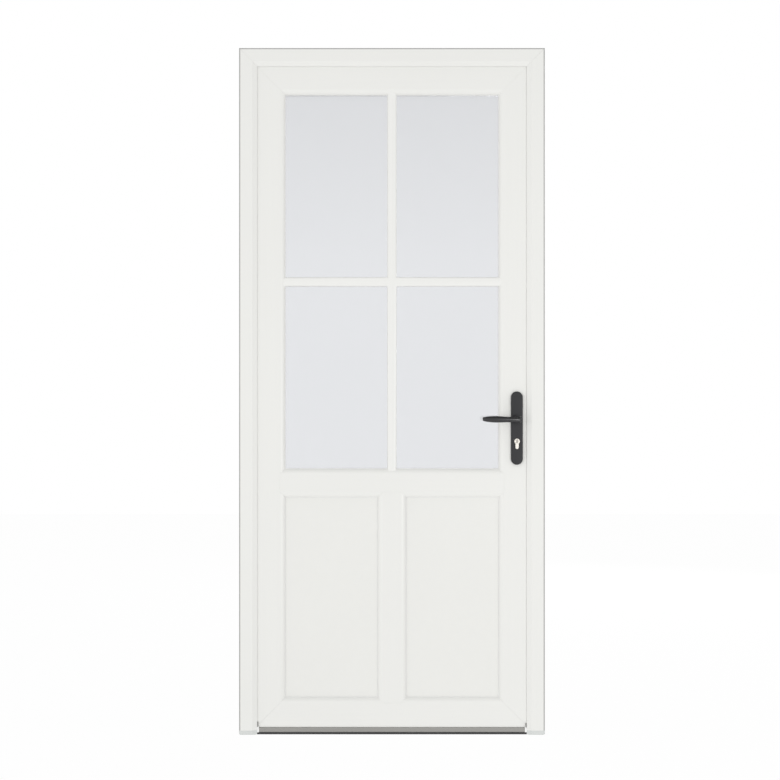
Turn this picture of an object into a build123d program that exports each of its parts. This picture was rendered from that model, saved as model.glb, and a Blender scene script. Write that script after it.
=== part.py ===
from build123d import *
import math
import os

# Single entrance door: a mitred outer frame with an inward-opening leaf, glazed above and panelled below.
# Millimetres. +X is to the right seen from outside, +Y points indoors, +Z is up.
# The origin is the middle of the threshold's underside.

# Outer frame
FRAME_WIDTH = 975.0
FRAME_HEIGHT = 2190.0
FRAME_DEPTH = 70.0
WEB_WIDTH = 40.0
LIP_REACH = 17.0
LIP_THICKNESS = 10.0
LIP_BEVEL_WIDTH = 15.0
LIP_BEVEL_DEPTH = 8.0
FRAME_EDGE_RADIUS = 3.0
FOOT_HEIGHT = 14.0
FOOT_CHAMFER = 3.0

# Clearances round the closed leaf
SEAL_GAP = 3.0
EDGE_GAP = 11.0
FLOOR_GAP = 5.0
SEAL_CLEARANCE = 0.5
SEAL_END_HEIGHT = 31.0

# Threshold
BASE_HEIGHT = 7.0
BASE_NOSE = 1.5
THRESHOLD_HEIGHT = 16.0
THRESHOLD_SETBACK = 10.5
THRESHOLD_LIP_HEIGHT = 21.5
THRESHOLD_LIP_WIDTH = 1.5
THRESHOLD_SLOPE_DEPTH = 2.5
THRESHOLD_END_GAP = 6.0
RIB_WIDTH = 2.0
RIB_DEPTH = 1.0
RIB_PITCH = 7.0
RIB_COUNT = 6
END_BLOCK_UPSTAND = 8.0
END_BLOCK_NOSE = 3.0
END_BLOCK_CLEARANCE = 1.0

# Leaf
LEAF_THICKNESS = 70.0
LEAF_PROFILE = 94.0
LEAF_EDGE_RADIUS = 2.0
FLANGE_REACH = 20.0
FLANGE_RADIUS = 4.0
MOULDING_WIDTH = 16.0
MOULDING_DEPTH = 8.0
MOULDING_EDGE = 2.0
MOULDING_BULGE = 2.0
REBATE_DEPTH = 20.0
MULLION_WIDTH = 90.0
MIDDLE_RAIL_HEIGHT = 802.0

# Glass, panels and what holds them
UNIT_THICKNESS = 28.0
PANE_THICKNESS = 4.0
UNIT_CLEARANCE = 3.0
SPACER_WIDTH = 8.0
GASKET_THICKNESS = 2.0
GASKET_SHOW = 2.0
GASKET_HIDDEN = 12.0
BEAD_SETBACK = 6.0
BEAD_MITRE_SLIT = 0.3
BAR_WIDTH = 28.0
BAR_FLAT = 25.0
INNER_BAR_WIDTH = 20.0
INNER_BAR_FLAT = 17.0
BAR_HEIGHT = 3.0
SEAL_WIDTH = 5.0
BRUSH_WIDTH = 6.0
BRUSH_SETBACK = 6.0

# Handle set and lock
BACKSET = 37.5
LEVER_HEIGHT = 1006.0
CYLINDER_DROP = 70.0
PLATE_WIDTH = 39.0
PLATE_THICKNESS = 9.0
PLATE_RISE = 89.0
PLATE_FALL = 75.0
PLATE_CHAMFER = 2.0
COLLAR_RADIUS = 13.0
COLLAR_HEIGHT = 3.0
NECK_RADIUS = 9.0
RUNNING_CLEARANCE = 0.05
LEVER_STANDOFF = 45.0
LEVER_REACH = 112.5
LEVER_HEEL = 9.5
LEVER_BREADTH = 20.0
LEVER_DEPTH = 16.0
LEVER_SIDES = 32
LEVER_TIP_RISE = 3.3
INNER_LEVER_REACH = 97.0
INNER_LEVER_GIRTH = 0.9
INNER_LEVER_TIP_RISE = -1.5
SPINDLE_SIZE = 8.0
SPINDLE_ENGAGEMENT = 25.0
SPINDLE_BORE_RADIUS = 10.0
NECK_END_GAP = 0.5
CYLINDER_RADIUS = 8.5
CYLINDER_LEG_WIDTH = 10.0
CYLINDER_HEIGHT = 33.0
CYLINDER_PROUD = 3.0
CYLINDER_CLEARANCE = 0.3
PLUG_RADIUS = 6.5
PLUG_LENGTH = 30.0
KEYWAY_WIDTH = 2.4
KEYWAY_HEIGHT = 9.0
KEYWAY_DEPTH = 20.0
FACEPLATE_WIDTH = 16.0
FACEPLATE_THICKNESS = 3.0
FACEPLATE_END = 160.0
BOLT_WIDTH = 10.0
BOLT_HEIGHT = 34.0
BOLT_DEPTH = 22.0
BOLT_CLEARANCE = 0.3
LATCH_RISE = 52.0
LOWER_HOOK_END = 55.0
UPPER_HOOK_END = 273.0
KEEPER_WIDTH = 24.0
KEEPER_LENGTH = 150.0
KEEPER_THICKNESS = 3.0
KEEPER_SLOT_MARGIN = 4.0

# Hinges
HINGE_NAMES = ("lower", "middle", "upper")
HINGE_END = 209.0
HINGE_LENGTH = 120.0
HINGE_GAP = 1.0
BARREL_RADIUS = 8.0
PIN_RADIUS = 5.0
PIN_REACH = 40.0
HINGE_PLATE_THICKNESS = 4.0
HINGE_PLATE_WIDTH = 30.0
HINGE_WEB_WIDTH = 8.0
BARREL_CLEARANCE = 5.5

# Lever stations from its heel to its tip: share of its length, then share of its breadth and depth
LEVER_STATIONS = (
    (0.000, 0.900),
    (0.008, 0.970),
    (0.020, 1.000),
    (0.045, 0.890),
    (0.085, 0.810),
    (0.145, 0.775),
    (0.250, 0.775),
    (0.365, 0.805),
    (0.500, 0.885),
    (0.620, 0.945),
    (0.720, 0.940),
    (0.830, 0.855),
    (0.920, 0.705),
    (0.975, 0.540),
    (0.993, 0.440),
    (1.000, 0.340),
)

# Corners are mitred at half of a right angle
MITRE_ANGLE = 45.0

# Places that follow from the sizes above
frame_half = FRAME_WIDTH / 2
frame_front = -FRAME_DEPTH / 2
frame_back = FRAME_DEPTH / 2
web_x = frame_half - WEB_WIDTH
lip_x = web_x - LIP_REACH
lip_back = frame_front + LIP_THICKNESS
leaf_x = web_x - EDGE_GAP
leaf_top = FRAME_HEIGHT - WEB_WIDTH - EDGE_GAP
leaf_bottom = THRESHOLD_HEIGHT + FLOOR_GAP
leaf_front = lip_back + SEAL_GAP
leaf_back = leaf_front + LEAF_THICKNESS
leaf_middle = (leaf_front + leaf_back) / 2
flange_front = frame_back + SEAL_GAP
flange_x = leaf_x + FLANGE_REACH
nose_depth = MOULDING_DEPTH + MOULDING_EDGE
sight_x = leaf_x - LEAF_PROFILE
sight_top = leaf_top - LEAF_PROFILE
sight_bottom = leaf_bottom + LEAF_PROFILE
mullion_half = MULLION_WIDTH / 2
rail_top = MIDDLE_RAIL_HEIGHT + mullion_half
rail_bottom = MIDDLE_RAIL_HEIGHT - mullion_half
unit_front = leaf_front + nose_depth + GASKET_THICKNESS
unit_back = unit_front + UNIT_THICKNESS
bead_front = unit_back + GASKET_THICKNESS
threshold_x = lip_x - THRESHOLD_END_GAP
lock_x = leaf_x - BACKSET
cylinder_height = LEVER_HEIGHT - CYLINDER_DROP
lock_middle = (leaf_front + flange_front) / 2
hinge_x = -(flange_x + BARREL_CLEARANCE + BARREL_RADIUS)
hinge_y = leaf_back

# Openings of the leaf, edge to edge of their mouldings: left, right, bottom, top
SIGHTS = {
    "glass": (-sight_x, sight_x, rail_top, sight_top),
    "left_panel": (-sight_x, -mullion_half, sight_bottom, rail_bottom),
    "right_panel": (mullion_half, sight_x, sight_bottom, rail_bottom),
}

# Heights of the lock's four bolts: lower hook, dead bolt, latch, upper hook
BOLT_HEIGHTS = (
    leaf_bottom + FACEPLATE_END + LOWER_HOOK_END,
    cylinder_height - LATCH_RISE,
    LEVER_HEIGHT + LATCH_RISE,
    leaf_top - FACEPLATE_END - UPPER_HOOK_END,
)

# Hinge names from the floor up, with the height of each hinge's middle
hinge_low = leaf_bottom + HINGE_END
hinge_pitch = (leaf_top - leaf_bottom - 2 * HINGE_END) / (len(HINGE_NAMES) - 1)
HINGES = {name: hinge_low + hinge_pitch * index for index, name in enumerate(HINGE_NAMES)}

os.makedirs("parts", exist_ok=True)


def finish(builder, name):
    """Name a finished piece and write it."""
    builder.part.label = name
    export_step(builder.part, f"parts/{name}.step")


def elevation(y):
    """Upright plane at depth y, drawn as seen from outside."""
    return Plane(origin=(0, y, 0), x_dir=(1, 0, 0), z_dir=(0, -1, 0))


def frame_section(plane):
    """Frame profile: across from its outer edge, then inward from its outer face."""
    face_width = WEB_WIDTH + LIP_REACH
    with BuildSketch(plane) as section:
        with BuildLine():
            Polyline(
                (0, 0),
                (face_width - LIP_BEVEL_WIDTH, 0),
                (face_width, LIP_BEVEL_DEPTH),
                (face_width, LIP_THICKNESS),
                (WEB_WIDTH, LIP_THICKNESS),
                (WEB_WIDTH, FRAME_DEPTH),
                (0, FRAME_DEPTH),
                close=True,
            )
        make_face()
        outer_corners = section.vertices().group_by(Axis.X)[0]
        fillet(outer_corners, radius=FRAME_EDGE_RADIUS)
    return section.sketch


def moulding(edge_x, side):
    """Moulded edge of a leaf profile from its flat face down to the nose, as two lines of a section."""
    start = (edge_x - side * MOULDING_WIDTH, 0)
    foot = (edge_x, MOULDING_DEPTH)
    SagittaArc(start, foot, -side * MOULDING_BULGE)
    Line(foot, (edge_x, nose_depth))


def leaf_section(plane, flange):
    """Leaf profile: across from the leaf's edge, then inward from its outer face."""
    root = LEAF_PROFILE - REBATE_DEPTH
    flange_depth = flange_front - leaf_front
    with BuildSketch(plane) as section:
        with BuildLine():
            Line((0, 0), (LEAF_PROFILE - MOULDING_WIDTH, 0))
            moulding(LEAF_PROFILE, 1)
            Polyline((LEAF_PROFILE, nose_depth), (root, nose_depth), (root, LEAF_THICKNESS))
            if flange:
                Polyline(
                    (root, LEAF_THICKNESS),
                    (-FLANGE_REACH, LEAF_THICKNESS),
                    (-FLANGE_REACH, flange_depth),
                    (0, flange_depth),
                    (0, 0),
                )
            else:
                Polyline((root, LEAF_THICKNESS), (0, LEAF_THICKNESS), (0, 0))
        make_face()
        front_corner = section.vertices().sort_by_distance((0, 0))[0]
        fillet(front_corner, radius=LEAF_EDGE_RADIUS)
        if flange:
            back_corner = section.vertices().sort_by_distance((-FLANGE_REACH, LEAF_THICKNESS))[0]
            fillet(back_corner, radius=FLANGE_RADIUS)
    return section.sketch


def mullion_section(plane):
    """Moulded front of a member between two openings, centred on its own axis."""
    with BuildSketch(plane) as section:
        with BuildLine():
            moulding(-mullion_half, -1)
            Line((MOULDING_WIDTH - mullion_half, 0), (mullion_half - MOULDING_WIDTH, 0))
            moulding(mullion_half, 1)
            Line((mullion_half, nose_depth), (-mullion_half, nose_depth))
        make_face()
    return section.sketch


def joint_outline(plane):
    """Notch where a member meets a moulded edge: the plane's X points into the opening."""
    root_half = mullion_half - MOULDING_WIDTH
    with BuildSketch(plane) as outline:
        with BuildLine():
            Polyline(
                (-MOULDING_WIDTH, -root_half),
                (MOULDING_WIDTH, -mullion_half - MOULDING_WIDTH),
                (MOULDING_WIDTH, mullion_half + MOULDING_WIDTH),
                (-MOULDING_WIDTH, root_half),
                close=True,
            )
        make_face()
    return outline.sketch


def mullion(plane, half_span):
    """Member between two openings, centred on the plane's origin, its length along the plane's X."""
    face_half = half_span + MOULDING_WIDTH
    root_half = mullion_half - MOULDING_WIDTH
    section_plane = Plane(
        origin=plane.from_local_coords((-face_half, 0, 0)),
        x_dir=plane.y_dir,
        z_dir=plane.x_dir,
    )
    with BuildPart() as member:
        with BuildSketch(plane):
            with BuildLine():
                Polyline(
                    (-face_half, -root_half),
                    (-half_span, -mullion_half),
                    (half_span, -mullion_half),
                    (face_half, -root_half),
                    (face_half, root_half),
                    (half_span, mullion_half),
                    (-half_span, mullion_half),
                    (-face_half, root_half),
                    close=True,
                )
            make_face()
        extrude(amount=nose_depth)
        extrude(mullion_section(section_plane), amount=2 * face_half, mode=Mode.INTERSECT)
        with BuildSketch(plane.offset(nose_depth)):
            Rectangle(2 * (half_span + REBATE_DEPTH), MULLION_WIDTH - 2 * REBATE_DEPTH)
        extrude(amount=LEAF_THICKNESS - nose_depth)
    return member


def ring(sight, outward, inward, front, back):
    """Rectangular loop round an opening, reaching outward and inward from its edge."""
    left, right, bottom, top = sight
    centre = ((left + right) / 2, (bottom + top) / 2)
    with BuildSketch(elevation(front)) as outline:
        with Locations(centre):
            Rectangle(right - left + 2 * outward, top - bottom + 2 * outward)
            Rectangle(right - left - 2 * inward, top - bottom - 2 * inward, mode=Mode.SUBTRACT)
    return extrude(outline.sketch, amount=front - back, mode=Mode.PRIVATE)


def slab(sight, outward, front, back):
    """Plain sheet that fills an opening and reaches outward behind its edge."""
    left, right, bottom, top = sight
    with BuildPart() as sheet:
        with BuildSketch(elevation(front)):
            with Locations(((left + right) / 2, (bottom + top) / 2)):
                Rectangle(right - left + 2 * outward, top - bottom + 2 * outward)
        extrude(amount=front - back)
    return sheet


# Mitre planes of the upper corners, shared by frame and leaf, and of the leaf's lower corners
mitre_upper_left = Plane(origin=(-frame_half, 0, FRAME_HEIGHT), x_dir=(0, 1, 0), z_dir=(1, 0, 1))
mitre_upper_right = Plane(origin=(frame_half, 0, FRAME_HEIGHT), x_dir=(0, 1, 0), z_dir=(-1, 0, 1))
mitre_lower_left = Plane(origin=(-leaf_x, 0, leaf_bottom), x_dir=(0, 1, 0), z_dir=(1, 0, -1))
mitre_lower_right = Plane(origin=(leaf_x, 0, leaf_bottom), x_dir=(0, 1, 0), z_dir=(-1, 0, -1))

# Frame: jambs and head
left_jamb_plane = Plane(origin=(-frame_half, frame_front, FOOT_HEIGHT), x_dir=(1, 0, 0), z_dir=(0, 0, 1))
with BuildPart() as left_jamb:
    extrude(frame_section(left_jamb_plane), amount=FRAME_HEIGHT - FOOT_HEIGHT)
    split(bisect_by=mitre_upper_left, keep=Keep.BOTTOM)
finish(left_jamb, "left_jamb")

with BuildPart() as right_jamb:
    mirror(left_jamb.part, about=Plane.YZ)
finish(right_jamb, "right_jamb")

head_plane = Plane(origin=(-frame_half, frame_front, FRAME_HEIGHT), x_dir=(0, 0, -1), z_dir=(1, 0, 0))
with BuildPart() as head:
    extrude(frame_section(head_plane), amount=FRAME_WIDTH)
    split(bisect_by=mitre_upper_left, keep=Keep.TOP)
    split(bisect_by=mitre_upper_right, keep=Keep.TOP)
finish(head, "head")

# Jamb feet
left_foot_plane = Plane(origin=(-frame_half, frame_front, 0), x_dir=(1, 0, 0), z_dir=(0, 0, 1))
with BuildPart() as left_jamb_foot:
    extrude(frame_section(left_foot_plane), amount=FOOT_HEIGHT)
    lower_edges = left_jamb_foot.edges().group_by(Axis.Z)[0]
    chamfer(lower_edges.filter_by(Axis.Y).sort_by(Axis.X)[0], length=FOOT_CHAMFER)
finish(left_jamb_foot, "left_jamb_foot")

with BuildPart() as right_jamb_foot:
    mirror(left_jamb_foot.part, about=Plane.YZ)
finish(right_jamb_foot, "right_jamb_foot")

# Threshold base: a dark strip under the aluminium sill, its nose between the lips of the jambs
threshold_front = frame_front + THRESHOLD_SETBACK
base_front = threshold_front - BASE_NOSE
with BuildPart() as threshold_base:
    with BuildSketch():
        with Locations((0, (lip_back + frame_back) / 2)):
            Rectangle(2 * web_x, frame_back - lip_back)
        with Locations((0, (base_front + frame_back) / 2)):
            Rectangle(2 * lip_x, frame_back - base_front)
    extrude(amount=BASE_HEIGHT)
finish(threshold_base, "threshold_base")

# Threshold: aluminium sill with a raised front lip, a slope behind it and ribs on its top
slope_end = threshold_front + THRESHOLD_SLOPE_DEPTH
rib_start = (slope_end + frame_back - RIB_PITCH * (RIB_COUNT - 1)) / 2
with BuildPart() as threshold:
    with BuildSketch(Plane(origin=(-threshold_x, 0, 0), x_dir=(0, 1, 0), z_dir=(1, 0, 0))):
        with BuildLine():
            Polyline(
                (threshold_front, BASE_HEIGHT),
                (threshold_front, THRESHOLD_LIP_HEIGHT),
                (threshold_front + THRESHOLD_LIP_WIDTH, THRESHOLD_LIP_HEIGHT),
                (slope_end, THRESHOLD_HEIGHT),
                (frame_back, THRESHOLD_HEIGHT),
                (frame_back, BASE_HEIGHT),
                close=True,
            )
        make_face()
        rib_spots = [(rib_start + RIB_PITCH * i, THRESHOLD_HEIGHT) for i in range(RIB_COUNT)]
        with Locations(*rib_spots):
            Rectangle(RIB_WIDTH, 2 * RIB_DEPTH, mode=Mode.SUBTRACT)
    extrude(amount=2 * threshold_x)
finish(threshold, "threshold")

# Threshold ends: white blocks that close the sill against the jambs
block_front = threshold_front - END_BLOCK_NOSE
block_back = leaf_front - END_BLOCK_CLEARANCE
with BuildPart() as left_threshold_end:
    with BuildSketch(Plane.XY.offset(BASE_HEIGHT)):
        with Locations((-(web_x + threshold_x) / 2, (lip_back + frame_back) / 2)):
            Rectangle(web_x - threshold_x, frame_back - lip_back)
        with Locations((-(lip_x + threshold_x) / 2, (block_front + lip_back) / 2)):
            Rectangle(lip_x - threshold_x, lip_back - block_front)
    extrude(amount=THRESHOLD_HEIGHT - BASE_HEIGHT)
    with BuildSketch(Plane.XY.offset(THRESHOLD_HEIGHT)):
        with Locations((-(lip_x + threshold_x) / 2, (block_front + block_back) / 2)):
            Rectangle(lip_x - threshold_x, block_back - block_front)
    extrude(amount=END_BLOCK_UPSTAND)
finish(left_threshold_end, "left_threshold_end")

with BuildPart() as right_threshold_end:
    mirror(left_threshold_end.part, about=Plane.YZ)
finish(right_threshold_end, "right_threshold_end")

# Frame seal: a U-shaped strip behind the lip, just clear of the closed leaf
seal_outer_x = min(lip_x + SEAL_WIDTH, web_x)
seal_outer_top = FRAME_HEIGHT - (frame_half - seal_outer_x)
seal_inner_top = FRAME_HEIGHT - (frame_half - lip_x)
with BuildPart() as frame_seal:
    with BuildSketch(elevation(lip_back)):
        with Locations((0, SEAL_END_HEIGHT)):
            Rectangle(
                2 * seal_outer_x,
                seal_outer_top - SEAL_END_HEIGHT,
                align=(Align.CENTER, Align.MIN),
            )
            Rectangle(
                2 * lip_x,
                seal_inner_top - SEAL_END_HEIGHT,
                align=(Align.CENTER, Align.MIN),
                mode=Mode.SUBTRACT,
            )
    extrude(amount=-(SEAL_GAP - SEAL_CLEARANCE))
finish(frame_seal, "frame_seal")

# Lock keepers on the lock jamb, one for the two middle bolts and one for each hook
with BuildPart() as lock_keepers:
    keeper_plane = Plane(origin=(web_x, lock_middle, 0), x_dir=(0, 1, 0), z_dir=(-1, 0, 0))
    middle_keeper = (BOLT_HEIGHTS[1] + BOLT_HEIGHTS[2]) / 2
    middle_length = BOLT_HEIGHTS[2] - BOLT_HEIGHTS[1] + KEEPER_LENGTH - BOLT_HEIGHT
    with BuildSketch(keeper_plane):
        for height, length in (
            (BOLT_HEIGHTS[0], KEEPER_LENGTH),
            (middle_keeper, middle_length),
            (BOLT_HEIGHTS[3], KEEPER_LENGTH),
        ):
            with Locations((0, -height)):
                RectangleRounded(KEEPER_WIDTH, length, KEEPER_SLOT_MARGIN)
        with Locations(*[(0, -height) for height in BOLT_HEIGHTS]):
            Rectangle(
                BOLT_WIDTH + KEEPER_SLOT_MARGIN, BOLT_HEIGHT + KEEPER_SLOT_MARGIN, mode=Mode.SUBTRACT
            )
    extrude(amount=KEEPER_THICKNESS)
finish(lock_keepers, "lock_keepers")

# Leaf: hinge stile with a notch for the middle rail
stile_plane = Plane(origin=(-leaf_x, leaf_front, leaf_bottom), x_dir=(1, 0, 0), z_dir=(0, 0, 1))
stile_joint = Plane(origin=(-sight_x, leaf_front, MIDDLE_RAIL_HEIGHT), x_dir=(1, 0, 0), z_dir=(0, 1, 0))
with BuildPart() as hinge_stile:
    extrude(leaf_section(stile_plane, flange=True), amount=leaf_top + FLANGE_REACH - leaf_bottom)
    split(bisect_by=mitre_upper_left, keep=Keep.BOTTOM)
    split(bisect_by=mitre_lower_left, keep=Keep.BOTTOM)
    extrude(joint_outline(stile_joint), amount=nose_depth, mode=Mode.SUBTRACT)
finish(hinge_stile, "hinge_stile")


def cylinder_outline(plane, clearance):
    """Euro cylinder profile: a round head over a narrower leg with a round foot."""
    leg_half = CYLINDER_LEG_WIDTH / 2 + clearance
    leg_length = CYLINDER_HEIGHT - CYLINDER_RADIUS - CYLINDER_LEG_WIDTH / 2
    with BuildSketch(plane) as outline:
        with Locations((lock_x, cylinder_height)):
            Circle(CYLINDER_RADIUS + clearance)
            Rectangle(2 * leg_half, leg_length, align=(Align.CENTER, Align.MAX))
        with Locations((lock_x, cylinder_height - leg_length)):
            Circle(leg_half)
    return outline.sketch


# Lock stile: the hinge stile's mirror image, cut for the lock
with BuildPart() as lock_stile:
    mirror(hinge_stile.part, about=Plane.YZ)
    with BuildSketch(elevation(leaf_front)):
        with Locations((lock_x, LEVER_HEIGHT)):
            Circle(SPINDLE_BORE_RADIUS)
    extrude(amount=-LEAF_THICKNESS, mode=Mode.SUBTRACT)
    cylinder_hole = cylinder_outline(elevation(leaf_front), CYLINDER_CLEARANCE)
    extrude(cylinder_hole, amount=-LEAF_THICKNESS, mode=Mode.SUBTRACT)
    edge_plane = Plane(origin=(leaf_x, lock_middle, 0), x_dir=(0, 1, 0), z_dir=(-1, 0, 0))
    with BuildSketch(edge_plane):
        with Locations((0, -leaf_bottom - FACEPLATE_END)):
            Rectangle(
                FACEPLATE_WIDTH,
                leaf_top - leaf_bottom - 2 * FACEPLATE_END,
                align=(Align.CENTER, Align.MAX),
            )
    extrude(amount=FACEPLATE_THICKNESS, mode=Mode.SUBTRACT)
    with BuildSketch(edge_plane):
        with Locations(*[(0, -height) for height in BOLT_HEIGHTS]):
            Rectangle(BOLT_WIDTH, BOLT_HEIGHT)
    extrude(amount=BOLT_DEPTH, mode=Mode.SUBTRACT)
finish(lock_stile, "lock_stile")

# Top and bottom rails
top_rail_plane = Plane(origin=(-flange_x, leaf_front, leaf_top), x_dir=(0, 0, -1), z_dir=(1, 0, 0))
with BuildPart() as top_rail:
    extrude(leaf_section(top_rail_plane, flange=True), amount=2 * flange_x)
    split(bisect_by=mitre_upper_left, keep=Keep.TOP)
    split(bisect_by=mitre_upper_right, keep=Keep.TOP)
finish(top_rail, "top_rail")

bottom_rail_plane = Plane(origin=(leaf_x, leaf_front, leaf_bottom), x_dir=(0, 0, 1), z_dir=(-1, 0, 0))
bottom_joint = Plane(origin=(0, leaf_front, sight_bottom), x_dir=(0, 0, 1), z_dir=(0, 1, 0))
with BuildPart() as bottom_rail:
    extrude(leaf_section(bottom_rail_plane, flange=False), amount=2 * leaf_x)
    split(bisect_by=mitre_lower_left, keep=Keep.TOP)
    split(bisect_by=mitre_lower_right, keep=Keep.TOP)
    extrude(joint_outline(bottom_joint), amount=nose_depth, mode=Mode.SUBTRACT)
finish(bottom_rail, "bottom_rail")

# Middle rail, notched below for the panel stile
rail_plane = Plane(origin=(0, leaf_front, MIDDLE_RAIL_HEIGHT), x_dir=(1, 0, 0), z_dir=(0, 1, 0))
rail_joint = Plane(origin=(0, leaf_front, rail_bottom), x_dir=(0, 0, -1), z_dir=(0, 1, 0))
middle_rail_blank = mullion(rail_plane, sight_x)
with BuildPart() as middle_rail:
    add(middle_rail_blank.part)
    extrude(joint_outline(rail_joint), amount=nose_depth, mode=Mode.SUBTRACT)
finish(middle_rail, "middle_rail")

# Panel stile between the two panels
panel_middle = (sight_bottom + rail_bottom) / 2
panel_stile_plane = Plane(origin=(0, leaf_front, panel_middle), x_dir=(0, 0, 1), z_dir=(0, 1, 0))
panel_stile = mullion(panel_stile_plane, (rail_bottom - sight_bottom) / 2)
finish(panel_stile, "panel_stile")

# Panels and the double glass with its spacer
unit_reach = REBATE_DEPTH - UNIT_CLEARANCE
for side in ("left_panel", "right_panel"):
    panel = slab(SIGHTS[side], unit_reach, unit_front, unit_back)
    finish(panel, side)

outer_pane = slab(SIGHTS["glass"], unit_reach, unit_front, unit_front + PANE_THICKNESS)
finish(outer_pane, "outer_pane")
inner_pane = slab(SIGHTS["glass"], unit_reach, unit_back - PANE_THICKNESS, unit_back)
finish(inner_pane, "inner_pane")

with BuildPart() as pane_spacer:
    add(
        ring(
            SIGHTS["glass"],
            unit_reach,
            SPACER_WIDTH - unit_reach,
            unit_front + PANE_THICKNESS,
            unit_back - PANE_THICKNESS,
        )
    )
finish(pane_spacer, "pane_spacer")

# Gaskets on both faces of the glass and panels
with BuildPart() as outer_gaskets:
    for sight in SIGHTS.values():
        add(ring(sight, GASKET_HIDDEN, GASKET_SHOW, unit_front - GASKET_THICKNESS, unit_front))
finish(outer_gaskets, "outer_gaskets")

with BuildPart() as inner_gaskets:
    for sight in SIGHTS.values():
        add(ring(sight, GASKET_HIDDEN, GASKET_SHOW - BEAD_SETBACK, unit_back, bead_front))
finish(inner_gaskets, "inner_gaskets")


def bead_set(sight):
    """Four mitred beads that hold one opening's glass or panel from indoors."""
    left, right, bottom, top = sight
    bevel = MOULDING_WIDTH - GASKET_SHOW
    slit_length = 2 * (REBATE_DEPTH + BEAD_MITRE_SLIT) * 2**0.5
    with BuildPart() as beads:
        add(ring(sight, REBATE_DEPTH, -BEAD_SETBACK, bead_front, leaf_back))
        mouth = beads.faces().sort_by(Axis.Y)[-1].inner_wires()[0].edges()
        chamfer(mouth, length=bevel / 2, length2=bevel / 2)
        for x, z, side in ((left, bottom, 1), (right, bottom, -1), (left, top, -1), (right, top, 1)):
            with Locations(Location((x, (bead_front + leaf_back) / 2, z), (0, -side * MITRE_ANGLE, 0))):
                Box(slit_length, 2 * (leaf_back - bead_front), BEAD_MITRE_SLIT, mode=Mode.SUBTRACT)
    return beads


glass_beads = bead_set(SIGHTS["glass"])
finish(glass_beads, "glass_beads")
for side in ("left_panel", "right_panel"):
    finish(bead_set(SIGHTS[side]), f"{side}_beads")


def bar_section(plane, width, flat):
    """Glazing bar: a flat back on the pane, bevelled to a narrower front."""
    with BuildSketch(plane) as section:
        with BuildLine():
            Polyline(
                (-width / 2, 0),
                (-flat / 2, BAR_HEIGHT),
                (flat / 2, BAR_HEIGHT),
                (width / 2, 0),
                close=True,
            )
        make_face()
    return section.sketch


def bar_cross(width, flat, reach):
    """Cross of glazing bars on the outer pane, reaching past the opening's edges."""
    middle = (rail_top + sight_top) / 2
    upright = Plane(origin=(0, unit_front, rail_top - reach), x_dir=(-1, 0, 0), z_dir=(0, 0, 1))
    level = Plane(origin=(-sight_x - reach, unit_front, middle), x_dir=(0, 0, 1), z_dir=(1, 0, 0))
    with BuildPart() as cross:
        extrude(bar_section(upright, width, flat), amount=sight_top - rail_top + 2 * reach)
        extrude(bar_section(level, width, flat), amount=2 * (sight_x + reach))
    return cross


# Glazing bars: a cross on each face of the glass, the outer one coped over the gaskets
with BuildPart() as outer_glazing_bars:
    add(bar_cross(BAR_WIDTH, BAR_FLAT, 0).part)
    add(outer_gaskets.part, mode=Mode.SUBTRACT)
finish(outer_glazing_bars, "outer_glazing_bars")

pane_middle = Plane(origin=(0, (unit_front + unit_back) / 2, 0), z_dir=(0, 1, 0))
inner_cross = bar_cross(INNER_BAR_WIDTH, INNER_BAR_FLAT, BEAD_SETBACK)
with BuildPart() as inner_glazing_bars:
    mirror(inner_cross.part, about=pane_middle)
    add(inner_gaskets.part, mode=Mode.SUBTRACT)
    add(glass_beads.part, mode=Mode.SUBTRACT)
finish(inner_glazing_bars, "inner_glazing_bars")

# Leaf seal on the flange, and the brush under the bottom rail
with BuildPart() as leaf_seal:
    with BuildSketch(elevation(flange_front)):
        with Locations((0, leaf_bottom)):
            Rectangle(
                2 * flange_x - 2 * SEAL_WIDTH,
                leaf_top + FLANGE_REACH - SEAL_WIDTH - leaf_bottom,
                align=(Align.CENTER, Align.MIN),
            )
            Rectangle(
                2 * flange_x - 4 * SEAL_WIDTH,
                leaf_top + FLANGE_REACH - 2 * SEAL_WIDTH - leaf_bottom,
                align=(Align.CENTER, Align.MIN),
                mode=Mode.SUBTRACT,
            )
    extrude(amount=SEAL_GAP - SEAL_CLEARANCE)
finish(leaf_seal, "leaf_seal")

with BuildPart() as brush_seal:
    with BuildSketch(Plane.XY.offset(leaf_bottom)):
        with Locations((0, leaf_front + BRUSH_SETBACK + BRUSH_WIDTH / 2)):
            Rectangle(2 * leaf_x, BRUSH_WIDTH)
    extrude(amount=-(FLOOR_GAP - SEAL_CLEARANCE))
finish(brush_seal, "brush_seal")

# Lock faceplate in the leaf's edge, with the bolts drawn in flush
with BuildPart() as lock_faceplate:
    with BuildSketch(edge_plane):
        with Locations((0, -leaf_bottom - FACEPLATE_END)):
            Rectangle(
                FACEPLATE_WIDTH,
                leaf_top - leaf_bottom - 2 * FACEPLATE_END,
                align=(Align.CENTER, Align.MAX),
            )
        with Locations(*[(0, -height) for height in BOLT_HEIGHTS]):
            Rectangle(BOLT_WIDTH, BOLT_HEIGHT, mode=Mode.SUBTRACT)
    extrude(amount=FACEPLATE_THICKNESS)
finish(lock_faceplate, "lock_faceplate")

with BuildPart() as lock_bolts:
    with BuildSketch(edge_plane):
        with Locations(*[(0, -height) for height in BOLT_HEIGHTS]):
            Rectangle(BOLT_WIDTH - 2 * BOLT_CLEARANCE, BOLT_HEIGHT - 2 * BOLT_CLEARANCE)
    extrude(amount=BOLT_DEPTH)
finish(lock_bolts, "lock_bolts")

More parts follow.
